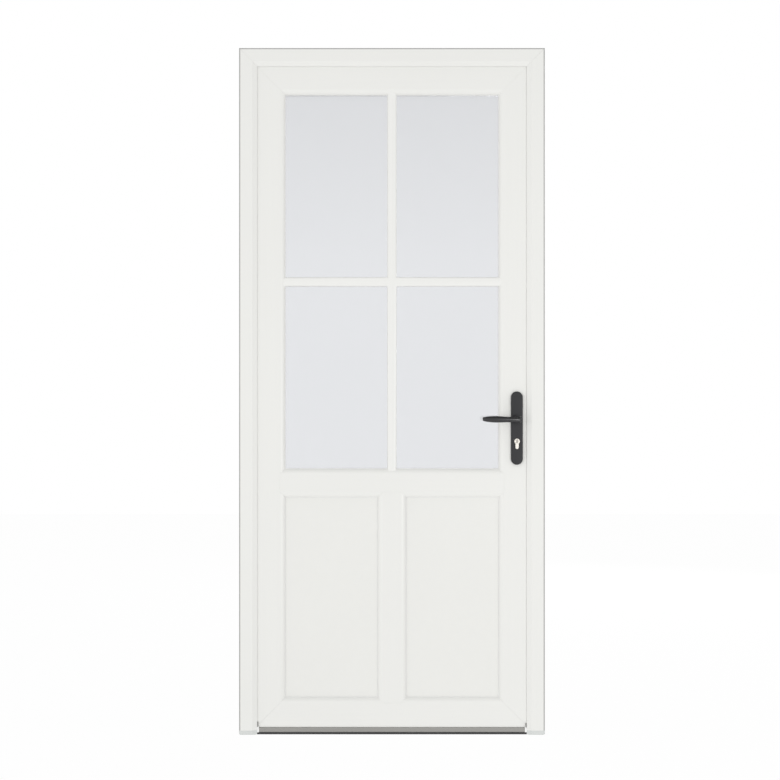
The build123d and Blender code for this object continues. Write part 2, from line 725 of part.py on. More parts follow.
# Handle plates
plate_top = LEVER_HEIGHT + PLATE_RISE
plate_bottom = cylinder_height - PLATE_FALL
leaf_mirror = Plane(origin=(0, leaf_middle, 0), z_dir=(0, 1, 0))
with BuildPart() as outer_handle_plate:
    with BuildSketch(elevation(leaf_front)):
        with Locations((lock_x, (plate_top + plate_bottom) / 2)):
            SlotOverall(plate_top - plate_bottom, PLATE_WIDTH, rotation=90)
    extrude(amount=PLATE_THICKNESS)
    chamfer(outer_handle_plate.faces().sort_by(Axis.Y)[0].edges(), length=PLATE_CHAMFER)
    with BuildSketch(elevation(leaf_front)):
        with Locations((lock_x, LEVER_HEIGHT)):
            Circle(COLLAR_RADIUS)
    extrude(amount=PLATE_THICKNESS + COLLAR_HEIGHT)
    with BuildSketch(elevation(leaf_front)):
        with Locations((lock_x, LEVER_HEIGHT)):
            Circle(NECK_RADIUS + RUNNING_CLEARANCE)
    extrude(amount=PLATE_THICKNESS + COLLAR_HEIGHT, mode=Mode.SUBTRACT)
    extrude(cylinder_hole, amount=PLATE_THICKNESS, mode=Mode.SUBTRACT)
finish(outer_handle_plate, "outer_handle_plate")

with BuildPart() as inner_handle_plate:
    mirror(outer_handle_plate.part, about=leaf_mirror)
finish(inner_handle_plate, "inner_handle_plate")

# Levers: a bar of oval stations from its flared heel to its blunt tip, on a round neck
arm_y = leaf_front - PLATE_THICKNESS - LEVER_STANDOFF
lever_turns = [2 * math.pi * index / LEVER_SIDES for index in range(LEVER_SIDES)]
lever_oval = [(LEVER_DEPTH / 2 * math.cos(turn), LEVER_BREADTH / 2 * math.sin(turn)) for turn in lever_turns]


def lever(lever_reach, girth, tip_rise):
    """Lever on the outer side of the leaf, its neck bored for the spindle."""
    with BuildPart() as handle:
        for along, share in LEVER_STATIONS:
            reach = along * (LEVER_HEEL + lever_reach) - LEVER_HEEL
            rise = tip_rise * max(reach, 0) / lever_reach
            size = share * girth
            station = Plane(
                origin=(lock_x - reach, arm_y, LEVER_HEIGHT + rise), x_dir=(0, 1, 0), z_dir=(-1, 0, 0)
            )
            with BuildSketch(station):
                Polygon(*[(size * across, size * up) for across, up in lever_oval], align=None)
        loft(ruled=True)
        with BuildSketch(elevation(arm_y)):
            with Locations((lock_x, LEVER_HEIGHT)):
                Circle(NECK_RADIUS)
        extrude(amount=-(leaf_front - NECK_END_GAP - arm_y))
        with BuildSketch(elevation(leaf_front - NECK_END_GAP)):
            with Locations((lock_x, LEVER_HEIGHT)):
                Rectangle(SPINDLE_SIZE, SPINDLE_SIZE)
        extrude(amount=SPINDLE_ENGAGEMENT, mode=Mode.SUBTRACT)
    return handle


finish(lever(LEVER_REACH, 1, LEVER_TIP_RISE), "outer_lever")

# The inner lever is a little shorter and slimmer
with BuildPart() as inner_lever:
    mirror(lever(INNER_LEVER_REACH, INNER_LEVER_GIRTH, INNER_LEVER_TIP_RISE).part, about=leaf_mirror)
finish(inner_lever, "inner_lever")

with BuildPart() as lever_spindle:
    with BuildSketch(elevation(leaf_front - NECK_END_GAP - SPINDLE_ENGAGEMENT)):
        with Locations((lock_x, LEVER_HEIGHT)):
            Rectangle(SPINDLE_SIZE, SPINDLE_SIZE)
    extrude(amount=-(LEAF_THICKNESS + 2 * (NECK_END_GAP + SPINDLE_ENGAGEMENT)))
finish(lever_spindle, "lever_spindle")

# Euro cylinder through both plates, with its outer plug and keyways
cylinder_front = leaf_front - PLATE_THICKNESS - CYLINDER_PROUD
cylinder_back = leaf_back + PLATE_THICKNESS + CYLINDER_PROUD
with BuildPart() as lock_cylinder:
    extrude(cylinder_outline(elevation(cylinder_front), 0), amount=cylinder_front - cylinder_back)
    with BuildSketch(elevation(cylinder_front)):
        with Locations((lock_x, cylinder_height)):
            Circle(PLUG_RADIUS + RUNNING_CLEARANCE)
    extrude(amount=-PLUG_LENGTH, mode=Mode.SUBTRACT)
    with BuildSketch(elevation(cylinder_back)):
        with Locations((lock_x, cylinder_height)):
            Rectangle(KEYWAY_WIDTH, KEYWAY_HEIGHT)
    extrude(amount=KEYWAY_DEPTH, mode=Mode.SUBTRACT)
finish(lock_cylinder, "lock_cylinder")

with BuildPart() as key_plug:
    with BuildSketch(elevation(cylinder_front)):
        with Locations((lock_x, cylinder_height)):
            Circle(PLUG_RADIUS)
    extrude(amount=-PLUG_LENGTH)
    with BuildSketch(elevation(cylinder_front)):
        with Locations((lock_x, cylinder_height)):
            Rectangle(KEYWAY_WIDTH, KEYWAY_HEIGHT)
    extrude(amount=-KEYWAY_DEPTH, mode=Mode.SUBTRACT)
finish(key_plug, "key_plug")


def frame_hinge_half(middle):
    """Lower hinge half on the frame: plate, web, barrel and pin."""
    bottom = middle - HINGE_LENGTH / 2
    barrel_top = middle - HINGE_GAP / 2
    with BuildPart() as half:
        with BuildSketch(Plane.XY.offset(bottom)):
            with Locations((hinge_x, hinge_y)):
                Circle(BARREL_RADIUS)
            with Locations((hinge_x - BARREL_RADIUS + HINGE_WEB_WIDTH / 2, (frame_back + hinge_y) / 2)):
                Rectangle(HINGE_WEB_WIDTH, hinge_y - frame_back)
            with Locations((-frame_half + FRAME_EDGE_RADIUS, frame_back)):
                Rectangle(
                    hinge_x + BARREL_RADIUS + frame_half - FRAME_EDGE_RADIUS,
                    HINGE_PLATE_THICKNESS,
                    align=(Align.MIN, Align.MIN),
                )
        extrude(amount=barrel_top - bottom)
        with BuildSketch(Plane.XY.offset(barrel_top)):
            with Locations((hinge_x, hinge_y)):
                Circle(PIN_RADIUS)
        extrude(amount=PIN_REACH)
    return half


def leaf_hinge_half(middle):
    """Upper hinge half on the leaf: plate and barrel with a blind bore over the pin."""
    barrel_bottom = middle + HINGE_GAP / 2
    top = middle + HINGE_LENGTH / 2
    with BuildPart() as half:
        with BuildSketch(Plane.XY.offset(barrel_bottom)):
            with Locations((hinge_x, hinge_y)):
                Circle(BARREL_RADIUS)
                Rectangle(
                    HINGE_PLATE_WIDTH - hinge_x - flange_x,
                    HINGE_PLATE_THICKNESS,
                    align=(Align.MIN, Align.MIN),
                )
        extrude(amount=top - barrel_bottom)
        with BuildSketch(Plane.XY.offset(barrel_bottom)):
            with Locations((hinge_x, hinge_y)):
                Circle(PIN_RADIUS + RUNNING_CLEARANCE)
        extrude(amount=PIN_REACH, mode=Mode.SUBTRACT)
    return half


for name, middle in HINGES.items():
    finish(frame_hinge_half(middle), f"{name}_hinge_frame_half")
    finish(leaf_hinge_half(middle), f"{name}_hinge_leaf_half")
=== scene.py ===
"""Looks of a white PVC entrance door with glazing bars above, panels below and a lever handle."""

import logging
import math
from collections.abc import Callable, Iterable
from dataclasses import dataclass
from enum import Enum
from functools import cache
from itertools import pairwise

import bmesh
import bpy
from mathutils import Euler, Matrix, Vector


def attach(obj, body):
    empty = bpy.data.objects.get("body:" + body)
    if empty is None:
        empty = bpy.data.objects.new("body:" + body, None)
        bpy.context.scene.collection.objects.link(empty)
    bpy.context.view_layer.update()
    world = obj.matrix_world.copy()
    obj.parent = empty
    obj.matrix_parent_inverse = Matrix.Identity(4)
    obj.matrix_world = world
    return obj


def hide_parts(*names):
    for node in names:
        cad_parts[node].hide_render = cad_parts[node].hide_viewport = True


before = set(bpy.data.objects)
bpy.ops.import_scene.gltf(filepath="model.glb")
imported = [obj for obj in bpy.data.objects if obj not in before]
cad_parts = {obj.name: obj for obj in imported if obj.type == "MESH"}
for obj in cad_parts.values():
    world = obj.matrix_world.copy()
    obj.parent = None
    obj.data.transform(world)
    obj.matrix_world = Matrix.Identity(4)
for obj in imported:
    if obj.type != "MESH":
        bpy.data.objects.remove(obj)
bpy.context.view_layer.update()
LOG = logging.getLogger("door")

Colour = tuple[float, float, float]
Point = tuple[float, float, float]
Pair = tuple[float, float]
Piece = bpy.types.Object
Tree = bpy.types.NodeTree
Socket = bpy.types.NodeSocket
Sockets = bpy.types.bpy_prop_collection

CLOSE = 1e-5  # metres within which two places count as one


class Way(Enum):
    """Way that a round piece faces, as the turn of a disc that starts facing up."""

    UP = (0.0, 0.0, 0.0)
    DOWN = (math.pi, 0.0, 0.0)
    OUT = (math.pi / 2, 0.0, 0.0)
    IN = (-math.pi / 2, 0.0, 0.0)
    LEFT = (0.0, -math.pi / 2, 0.0)
    RIGHT = (0.0, math.pi / 2, 0.0)

    def axis(self) -> Vector:
        """Give back the unit vector of this way."""
        return Euler(self.value).to_matrix() @ Vector((0.0, 0.0, 1.0))


class Kind(Enum):
    """What an operator acts on."""

    CORNERS = "VERT"
    EDGES = "EDGE"
    FACES = "FACE"


class Grain(Enum):
    """Direction in which a profile was drawn, as the stretch of its streaks along X, Y and Z."""

    UPRIGHT = (1.0, 1.0, 0.02)
    LEVEL = (0.02, 1.0, 1.0)
    EVEN = (0.3, 0.3, 0.3)


class Graph:
    """Writes nodes into one node tree."""

    def __init__(self, tree: Tree) -> None:
        """Keep the tree that the nodes go into."""
        self.tree = tree

    def node(self, kind: str, inputs: dict | None = None, **settings: object) -> bpy.types.Node:
        """Add a node.

        Args:
            kind: Blender's name of the node type.
            inputs: Values or sockets for its inputs, by name or number.
            settings: Properties set before the inputs.

        Returns:
            The new node.
        """
        made = self.tree.nodes.new(kind)
        for key, value in settings.items():
            setattr(made, key, value)
        self.fill(made.inputs, inputs or {})
        return made

    def fill(self, sockets: Sockets, values: dict) -> None:
        """Link sockets to others or set their values, by name or number."""
        for key, value in values.items():
            if isinstance(value, Socket):
                self.tree.links.new(value, sockets[key])
            else:
                sockets[key].default_value = value

    def math(self, operation: str, *values: object, clamp: bool = False) -> Socket:
        """Add a Math node and give back its result."""
        made = self.node("ShaderNodeMath", dict(enumerate(values)), operation=operation, use_clamp=clamp)
        return made.outputs[0]

    def scaled(self, vector: object, factor: object) -> Socket:
        """Give back a colour or a place multiplied by a value."""
        made = self.node("ShaderNodeVectorMath", {0: vector, 3: factor}, operation="SCALE")
        return made.outputs[0]

    def ranged(self, value: object, span: Pair, to: Pair = (1.0, 0.0)) -> Socket:
        """Give back a value moved from one range to another, held inside the second."""
        made = self.node("ShaderNodeMapRange", dict(enumerate((value, *span, *to))))
        return made.outputs[0]

    def noise(self, vector: object, scale: float, detail: float = 2.0) -> Socket:
        """Add a Noise texture and give back its value."""
        made = self.node("ShaderNodeTexNoise", {"Vector": vector, "Scale": scale, "Detail": detail})
        return made.outputs[0]

    def blend(self, share: Socket, other: Socket) -> None:
        """Mix a material's shader with another one by a share."""
        nodes = self.tree.nodes
        shaders = {0: share, 1: nodes["Principled BSDF"].outputs[0], 2: other}
        both = self.node("ShaderNodeMixShader", shaders).outputs[0]
        self.fill(nodes["Material Output"].inputs, {"Surface": both})


class Effects:
    """Shader node groups that more than one finish uses, each built once."""

    CLOUD_SCALE = 3.5
    STREAK_SCALE = 170.0
    GRAIN_SCALE = 900.0
    GROOVE_FADE = (0.35, 1.0)
    EDGE_FADE = (0.7, 1.1)
    BEHIND_FADE = (1.0, 1.4)

    @staticmethod
    def group(
        name: str, inputs: dict[str, float | Point], outputs: Iterable[str]
    ) -> tuple[Graph, Sockets, Sockets]:
        """Make an empty group with its sockets.

        Args:
            name: The group's name.
            inputs: Its inputs with their values; a tuple makes a vector socket.
            outputs: Names of its value outputs.

        Returns:
            Writer for the group's tree, the sockets that it is given and those of its result.
        """
        tree = bpy.data.node_groups.new(name, "ShaderNodeTree")
        for key, value in inputs.items():
            kind = "NodeSocketVector" if isinstance(value, tuple) else "NodeSocketFloat"
            tree.interface.new_socket(key, in_out="INPUT", socket_type=kind).default_value = value
        for key in outputs:
            tree.interface.new_socket(key, in_out="OUTPUT", socket_type="NodeSocketFloat")
        given = tree.nodes.new("NodeGroupInput").outputs
        return Graph(tree), given, tree.nodes.new("NodeGroupOutput").inputs

    @classmethod
    @cache
    def surface(cls) -> Tree:
        """Drawn or moulded surface: slow clouds, streaks along the draw and a fine grain."""
        sockets = {"Stretch": (1.0, 1.0, 1.0), "Streaks": 1.0, "Clouds": 1.0, "Grain": 1.0, "Fineness": 1.0}
        graph, given, result = cls.group("drawn_surface", sockets, ("Tone", "Rough", "Height"))
        place = graph.node("ShaderNodeTexCoord").outputs["Object"]
        drawn = graph.node("ShaderNodeVectorMath", {0: place, 1: given["Stretch"]}, operation="MULTIPLY")
        fine = graph.scaled(place, given["Fineness"])
        cloud, streak, grain = (
            graph.math("MULTIPLY", graph.math("SUBTRACT", noise, 0.5), given[key])
            for key, noise in (
                ("Clouds", graph.noise(place, cls.CLOUD_SCALE, 3.0)),
                ("Streaks", graph.noise(drawn.outputs[0], cls.STREAK_SCALE, 3.0)),
                ("Grain", graph.noise(fine, cls.GRAIN_SCALE, 2.0)),
            )
        )
        both = graph.math("ADD", cloud, streak)
        graph.fill(result, {
            "Tone": graph.math("ADD", both, 1.0),
            "Rough": graph.math("ADD", graph.math("MULTIPLY", both, 2.0), grain),
            "Height": graph.math("ADD", grain, streak),
        })
        return graph.tree

    @classmethod
    @cache
    def welds(cls) -> Tree:
        """Fine groove along the mitres of an upright rectangle, and a mask of its outer corner where shade is
        painted.
        """
        sockets = {
            "Half Width": 0.5, "Bottom": -9.0, "Top": 2.0, "Front": -0.03, "Groove": 0.0005, "Corner": 0.0045,
        }
        graph, given, result = cls.group("welded_mitres_and_painted_rim", sockets, ("Mask", "Painted Shade Rim"))
        place = graph.node("ShaderNodeTexCoord").outputs["Object"]
        axes = graph.node("ShaderNodeSeparateXYZ", {0: place}).outputs
        inset = graph.math("SUBTRACT", given["Half Width"], graph.math("ABSOLUTE", axes["X"]))
        below = graph.math("SUBTRACT", given["Top"], axes["Z"])
        above = graph.math("SUBTRACT", axes["Z"], given["Bottom"])
        upper, lower = (graph.math("ABSOLUTE", graph.math("SUBTRACT", inset, way)) for way in (below, above))
        near = graph.math("DIVIDE", graph.math("MINIMUM", upper, lower), given["Groove"])
        # The rim covers the outer corner and the sides behind the front; the finish darkens it as painted
        # shade of the edge that turns away from the light
        edge = graph.math("DIVIDE", graph.math("MINIMUM", inset, below), given["Corner"])
        behind = graph.math("DIVIDE", graph.math("SUBTRACT", axes["Y"], given["Front"]), given["Corner"])
        rim = graph.math("MULTIPLY", graph.ranged(edge, cls.EDGE_FADE), graph.ranged(behind, cls.BEHIND_FADE))
        graph.fill(result, {"Mask": graph.ranged(near, cls.GROOVE_FADE), "Painted Shade Rim": rim})
        return graph.tree


@dataclass(frozen=True)
class Finish:
    """A material of the door: its colour, gloss and the detail that its surface shows."""

    name: str
    slot: str
    colour: Colour
    roughness: float
    metallic: float = 0.0
    specular: float = 0.5
    grain: Grain = Grain.EVEN
    streaks: float = 0.02
    clouds: float = 0.02
    grit: float = 0.04
    fineness: float = 1.0
    relief: float = 0.00004
    edge: float = 0.0

    @cache
    def material(self) -> bpy.types.Material:
        """Give back this finish's material, built at its first use."""
        made = bpy.data.materials.new(self.name)
        made.use_nodes = True
        self.dress(Graph(made.node_tree), made.node_tree.nodes["Principled BSDF"].inputs)
        return made

    def dress(self, graph: Graph, shader: Sockets) -> None:
        """Feed the shader from the surface's own variation.

        Args:
            graph: Writer for the material's tree.
            shader: Inputs of its Principled BSDF.
        """
        surface = self.surface(graph)
        tone, height = self.variation(graph, surface)
        rough = graph.math("MULTIPLY", surface["Rough"], self.roughness)
        bump = {"Strength": 1.0, "Distance": self.relief, "Height": height}
        if self.edge:
            bump["Normal"] = graph.node("ShaderNodeBevel", {"Radius": self.edge}, samples=4).outputs[0]
        graph.fill(shader, {
            "Base Color": graph.scaled(self.colour, tone),
            "Roughness": graph.math("ADD", rough, self.roughness, clamp=True),
            "Metallic": self.metallic,
            "Specular IOR Level": self.specular,
            "Normal": graph.node("ShaderNodeBump", bump).outputs[0],
        })

    def surface(self, graph: Graph) -> Sockets:
        """Place the shared surface group with this finish's values and give back its outputs."""
        values = {
            "Stretch": self.grain.value, "Streaks": self.streaks, "Clouds": self.clouds,
            "Grain": self.grit, "Fineness": self.fineness,
        }
        return graph.node("ShaderNodeGroup", values, node_tree=Effects.surface()).outputs

    def variation(self, graph: Graph, surface: Sockets) -> tuple[Socket, Socket]:
        """Give back the tone and the height of the surface."""
        return surface["Tone"], surface["Height"]


@dataclass(frozen=True)
class WeldedFinish(Finish):
    """White PVC whose mitred corners show a fine welded groove, with painted shade along its outer corner."""

    half_width: float = 0.4875
    bottom: float = -9.0
    top: float = 2.19
    front: float = -0.035
    depth: float = 1.6
    groove_shade: float = 0.018
    # How much the outer corner's rim is darkened: painted shade
    painted_rim_shade: float = 0.5

    def variation(self, graph: Graph, surface: Sockets) -> tuple[Socket, Socket]:
        """Lower the tone and the height in the groove, and the tone along the rim, which is painted shade.

        Args:
            graph: Writer for the material's tree.
            surface: Outputs of its surface group.

        Returns:
            The tone and the height.
        """
        values = {"Half Width": self.half_width, "Bottom": self.bottom, "Top": self.top, "Front": self.front}
        masks = graph.node("ShaderNodeGroup", values, node_tree=Effects.welds()).outputs
        shade = graph.math("MULTIPLY", masks["Mask"], self.groove_shade)
        # The rim's darkening is painted shade of the outer corner
        shade = graph.math("ADD", shade, graph.math("MULTIPLY", masks["Painted Shade Rim"], self.painted_rim_shade))
        groove = graph.math("MULTIPLY", masks["Mask"], self.depth)
        tone = graph.math("SUBTRACT", surface["Tone"], shade)
        return tone, graph.math("SUBTRACT", surface["Height"], groove)


@dataclass(frozen=True)
class GlassFinish(Finish):
    """Clear float glass with a faint waviness."""

    ior: float = 1.5

    def dress(self, graph: Graph, shader: Sockets) -> None:
        """Feed a clear shader, with the tint and waviness of float glass.

        Args:
            graph: Writer for the material's tree.
            shader: Inputs of its Principled BSDF.
        """
        tone = self.surface(graph)["Tone"]
        bump = {"Strength": 1.0, "Distance": self.relief, "Height": tone}
        graph.fill(shader, {
            "Base Color": graph.scaled(self.colour, tone),
            "Roughness": self.roughness,
            "Transmission Weight": 1.0,
            "IOR": self.ior,
            "Normal": graph.node("ShaderNodeBump", bump).outputs[0],
        })
        # Shadow and diffuse rays go straight through, so that what is behind the glass is lit
        path = graph.node("ShaderNodeLightPath").outputs
        passing = graph.math("MAXIMUM", path["Is Shadow Ray"], path["Is Diffuse Ray"])
        graph.blend(passing, graph.node("ShaderNodeBsdfTransparent").outputs[0])


PVC: Colour = (0.815, 0.815, 0.788)


def profile(name: str, grain: Grain, **corners: float) -> WeldedFinish:
    """Give back the finish of a white profile that was drawn one way."""
    return WeldedFinish(name, "white_pvc", PVC, 0.34, grain=grain, edge=0.001, **corners)


def rubber(name: str, colour: Colour, roughness: float, grit: float) -> Finish:
    """Give back the finish of a rubber seal."""
    return Finish(name, "grey_seal", colour, roughness, grit=grit, relief=0.00008)


FRAME_UPRIGHT = profile("frame_pvc_upright", Grain.UPRIGHT)
FRAME_LEVEL = profile("frame_pvc_level", Grain.LEVEL)
LEAF_CORNERS = {"half_width": 0.4365, "bottom": 0.021, "top": 2.139, "front": -0.022, "painted_rim_shade": 0.0}
LEAF_UPRIGHT = profile("leaf_pvc_upright", Grain.UPRIGHT, **LEAF_CORNERS)
LEAF_LEVEL = profile("leaf_pvc_level", Grain.LEVEL, **LEAF_CORNERS)
PANEL = Finish("panel_pvc", "white_pvc", (0.805, 0.805, 0.776), 0.38, grit=0.06, relief=0.00005)
BAR = Finish("bar_pvc", "white_pvc", (0.83, 0.83, 0.805), 0.32, edge=0.0006)
BLOCK = Finish("end_block_pvc", "white_block", (0.88, 0.88, 0.87), 0.45)
FOOT = Finish("foot_plastic", "grey_foot", (0.66, 0.68, 0.665), 0.5, grit=0.1)
SILL = Finish(
    "satin_sill", "sill_aluminium", (0.326, 0.321, 0.304), 0.45, metallic=0.5,
    grain=Grain.LEVEL, streaks=0.16, grit=0.08,
)
BASE = Finish("base_rubber", "black_base", (0.035, 0.035, 0.036), 0.7, grit=0.2)
# Grey of the pads at the feet of the seal's gap lines: painted shade
PAINTED_SHADE_PAD = rubber("pad_painted_shade", (0.30, 0.295, 0.285), 0.62, 0.18)
SEAL = rubber("seal_rubber", (0.90, 0.90, 0.885), 0.62, 0.16)
GASKET = rubber("gasket_rubber", (0.80, 0.80, 0.79), 0.6, 0.14)
DARK_GASKET = rubber("dark_gasket_rubber", (0.11, 0.11, 0.11), 0.6, 0.14)
BRISTLE = Finish("brush_bristle", "grey_brush", (0.16, 0.16, 0.165), 0.8, grit=0.3, fineness=2.5)
GLASS = GlassFinish(
    "float_glass", "clear_glass", (0.878, 0.884, 0.896), 0.0, clouds=0.006, streaks=0.0, relief=0.00002
)
SPACER = Finish("spacer_metal", "spacer_aluminium", (0.30, 0.30, 0.30), 0.4, metallic=0.6, streaks=0.08)
ANTHRACITE = Finish(
    "powder_coat", "anthracite_paint", (0.0212, 0.0212, 0.0242), 0.5, specular=0.4,
    clouds=0.06, grit=0.22, fineness=1.8, relief=0.00006, edge=0.0005,
)
LEVER_COAT = Finish(
    "lever_coat", "anthracite_paint", (0.0185, 0.0185, 0.0205), 0.25, specular=0.56,
    clouds=0.06, grit=0.12, fineness=1.8,
)
STEEL = Finish(
    "brushed_steel", "lock_steel", (0.56, 0.56, 0.55), 0.3, metallic=1.0, grain=Grain.UPRIGHT, streaks=0.2,
)
SCREW = Finish("zinc_screw", "lock_steel", (0.5, 0.5, 0.49), 0.34, metallic=1.0, grit=0.1, streaks=0.08)
NICKEL = Finish("satin_nickel", "nickel", (0.80, 0.765, 0.71), 0.27, metallic=1.0, streaks=0.12, grit=0.05)
PLUG = Finish("plug_nickel", "nickel", (0.50, 0.465, 0.425), 0.33, metallic=1.0, streaks=0.14, grit=0.06)
HINGE_PAINT = Finish("hinge_enamel", "hinge_paint", (0.80, 0.80, 0.775), 0.3, grit=0.08, edge=0.0006)


@dataclass(frozen=True)
class Drum:
    """A round block with a rounded edge, and for a cap the dish inside its rim."""

    radius: float
    height: float
    edge: float = 0.0
    rim: float = 0.0
    dish: float = 0.0
    steps: int = 3
    sides: int = 48


class Bench:
    """A modeller's moves, made with Blender's operators on one piece at a time."""

    HEAD_HEIGHT = 0.0007
    SOCKET_INSET = 0.32  # share of the head's radius
    SOCKET_WAIST = 0.66
    SOCKET_DEPTH = 0.0009

    @staticmethod
    def start(name: str) -> Piece:
        """Name the new primitive, put its place into its mesh and open it, all selected."""
        piece = bpy.context.object
        piece.name = piece.data.name = name
        bpy.ops.object.transform_apply(location=True, rotation=True, scale=True)
        Bench.edit()
        return piece

    @staticmethod
    def edit() -> None:
        """Open the active piece, all selected."""
        bpy.ops.object.mode_set(mode="EDIT")
        bpy.ops.mesh.select_all(action="SELECT")

    @staticmethod
    def only(piece: Piece, *others: Piece) -> None:
        """Select these pieces alone and make the first active."""
        bpy.ops.object.select_all(action="DESELECT")
        for item in (piece, *others):
            item.select_set(True)
        bpy.context.view_layer.objects.active = piece

    @classmethod
    def block(cls, name: str, low: Point, high: Point) -> Piece:
        """Start from a block.

        Args:
            name: The piece's name.
            low: Its lowest corner.
            high: Its highest corner.

        Returns:
            The piece, open for editing.
        """
        middle = [(a + b) / 2 for a, b in zip(low, high)]
        bpy.ops.mesh.primitive_cube_add(size=1.0, location=middle, scale=[b - a for a, b in zip(low, high)])
        return cls.start(name)

    @classmethod
    def disc(cls, name: str, centre: Point, radius: float, way: Way, sides: int = 32) -> Piece:
        """Start from a filled disc.

        Args:
            name: The piece's name.
            centre: Its middle.
            radius: Its radius.
            way: The way that it faces.
            sides: Number of its corners.

        Returns:
            The piece, open for editing.
        """
        bpy.ops.mesh.primitive_circle_add(
            vertices=sides, radius=radius, fill_type="NGON", location=centre, rotation=way.value
        )
        return cls.start(name)

    @classmethod
    def drum(cls, name: str, foot: Point, way: Way, shape: Drum) -> Piece:
        """Start from a round block with a rounded edge.

        Args:
            name: The piece's name.
            foot: Middle of its foot.
            way: The way that it stands up from there.
            shape: Its shape, apart from a dish.

        Returns:
            The piece, open for editing.
        """
        axis = way.axis()
        piece = cls.disc(name, foot, shape.radius, way, shape.sides)
        cls.push(axis * shape.height)
        if shape.edge:
            cls.rim(way, Vector(foot).dot(axis) + shape.height, shape.edge, shape.steps)
        return piece

    @classmethod
    def ring(cls, name: str, centre: Vector, radius: float, width: float, way: Way, sides: int) -> Piece:
        """Start from a flat ring.

        Args:
            name: The piece's name.
            centre: Its middle.
            radius: Its outer radius.
            width: Distance from its outer to its inner edge.
            way: The way that it faces.
            sides: Number of its corners.

        Returns:
            The piece, open for editing, all selected.
        """
        piece = cls.disc(name, centre, radius, way, sides)
        bpy.ops.mesh.inset(thickness=width)
        cls.pick(Kind.FACES, lambda at, normal: (at - centre).length < CLOSE)
        bpy.ops.mesh.delete(type="ONLY_FACE")
        bpy.ops.mesh.select_all(action="SELECT")
        return piece

    @staticmethod
    def pick(kind: Kind, test: Callable[[Vector, Vector], bool]) -> None:
        """Select the corners, edges or faces that pass a test.

        Args:
            kind: What is selected.
            test: Takes the middle and the normal, or an edge's direction.
        """
        bpy.ops.mesh.select_mode(type=kind.value)
        bpy.ops.mesh.select_all(action="DESELECT")
        mesh = bpy.context.object.data
        shape = bmesh.from_edit_mesh(mesh)
        shape.normal_update()
        if kind is Kind.CORNERS:
            found = [item for item in shape.verts if test(item.co, item.normal)]
        elif kind is Kind.EDGES:
            ends = ((item, *(corner.co for corner in item.verts)) for item in shape.edges)
            found = [item for item, a, b in ends if test((a + b) / 2, (b - a).normalized())]
        else:
            found = [item for item in shape.faces if test(item.calc_center_median(), item.normal)]
        for item in found:
            item.select_set(True)
        bmesh.update_edit_mesh(mesh)

    @staticmethod
    def push(shift: Iterable[float]) -> None:
        """Extrude what is selected by a shift."""
        bpy.ops.mesh.extrude_region_move(TRANSFORM_OT_translate={"value": tuple(shift)})

    @staticmethod
    def resize(factors: Point, about: Iterable[float]) -> None:
        """Scale what is selected about a point."""
        bpy.ops.transform.resize(value=factors, center_override=tuple(about))

    @classmethod
    def draw_out(cls, rows: Iterable[tuple[Vector, Point]]) -> None:
        """Extrude what is selected from place to place, and scale it at each.

        Args:
            rows: The places with the scales along X, Y and Z, first as it is now.
        """
        for (here, before), (there, after) in pairwise(rows):
            cls.push(there - here)
            cls.resize(tuple(new / old for old, new in zip(before, after)), there)

    @staticmethod
    def bevel(width: float, steps: int = 3) -> None:
        """Round the selected edges."""
        bpy.ops.mesh.bevel(offset=width, segments=steps, profile=0.5, affect="EDGES")

    @classmethod
    def rim(cls, way: Way, level: float, width: float, steps: int = 3) -> None:
        """Round the edges that lie in the plane at a level along a way.

        Args:
            way: The plane's normal.
            level: Its distance from the origin along that way.
            width: Width of the rounding.
            steps: Number of its facets.
        """
        axis = way.axis()
        cls.pick(
            Kind.EDGES, lambda at, along: abs(at.dot(axis) - level) < CLOSE and abs(along.dot(axis)) < 1e-3
        )
        cls.bevel(width, steps)

    @classmethod
    def face(cls, way: Way) -> None:
        """Select the faces that look one way and lie furthest that way."""
        axis = way.axis()
        shape = bmesh.from_edit_mesh(bpy.context.object.data)
        most = max(corner.co.dot(axis) for corner in shape.verts)
        cls.pick(Kind.FACES, lambda at, normal: abs(at.dot(axis) - most) < CLOSE)

    @staticmethod
    def apply(piece: Piece, kind: str, **settings: object) -> None:
        """Put a modifier on a piece and apply it, leaving the piece open for editing."""
        bpy.ops.object.mode_set(mode="OBJECT")
        bpy.context.view_layer.objects.active = piece
        modifier = piece.modifiers.new(kind.lower(), kind)
        for key, value in settings.items():
            setattr(modifier, key, value)
        bpy.ops.object.modifier_apply(modifier=modifier.name)
        bpy.ops.object.mode_set(mode="EDIT")

    @classmethod
    def carve(cls, piece: Piece, tool: Piece, operation: str = "DIFFERENCE") -> None:
        """Cut a closed piece with another one, or fuse them, and throw the other one away."""
        cls.apply(piece, "BOOLEAN", operation=operation, object=tool, solver="EXACT")
        bpy.data.meshes.remove(tool.data)
        cls.close()

    @staticmethod
    def close() -> None:
        """Merge doubles, turn faces outwards and leave editing."""
        bpy.ops.mesh.select_all(action="SELECT")
        bpy.ops.mesh.remove_doubles(threshold=1e-6)
        bpy.ops.mesh.normals_make_consistent(inside=False)
        bpy.ops.object.mode_set(mode="OBJECT")

    @staticmethod
    def join(piece: Piece, *others: Piece) -> None:
        """Make other closed pieces part of one."""
        Bench.only(piece, *others)
        bpy.ops.object.join()

    @staticmethod
    def copy(piece: Piece, name: str, shift: Point = (0.0, 0.0, 0.0)) -> Piece:
        """Copy a closed piece.

        Args:
            piece: The piece to copy, with its mesh.
            name: The copy's name.
            shift: How far the copy moves.

        Returns:
            The copy, closed.
        """
        Bench.only(piece)
        bpy.ops.object.duplicate()
        made = bpy.context.object
        made.name = made.data.name = name
        Bench.edit()
        bpy.ops.transform.translate(value=shift)
        bpy.ops.object.mode_set(mode="OBJECT")
        return made

    @classmethod
    def mirror(cls, piece: Piece, depth: float) -> None:
        """Mirror a closed piece in the upright plane at a depth."""
        cls.only(piece)
        cls.edit()
        cls.resize((1.0, -1.0, 1.0), (0.0, depth, 0.0))
        cls.close()

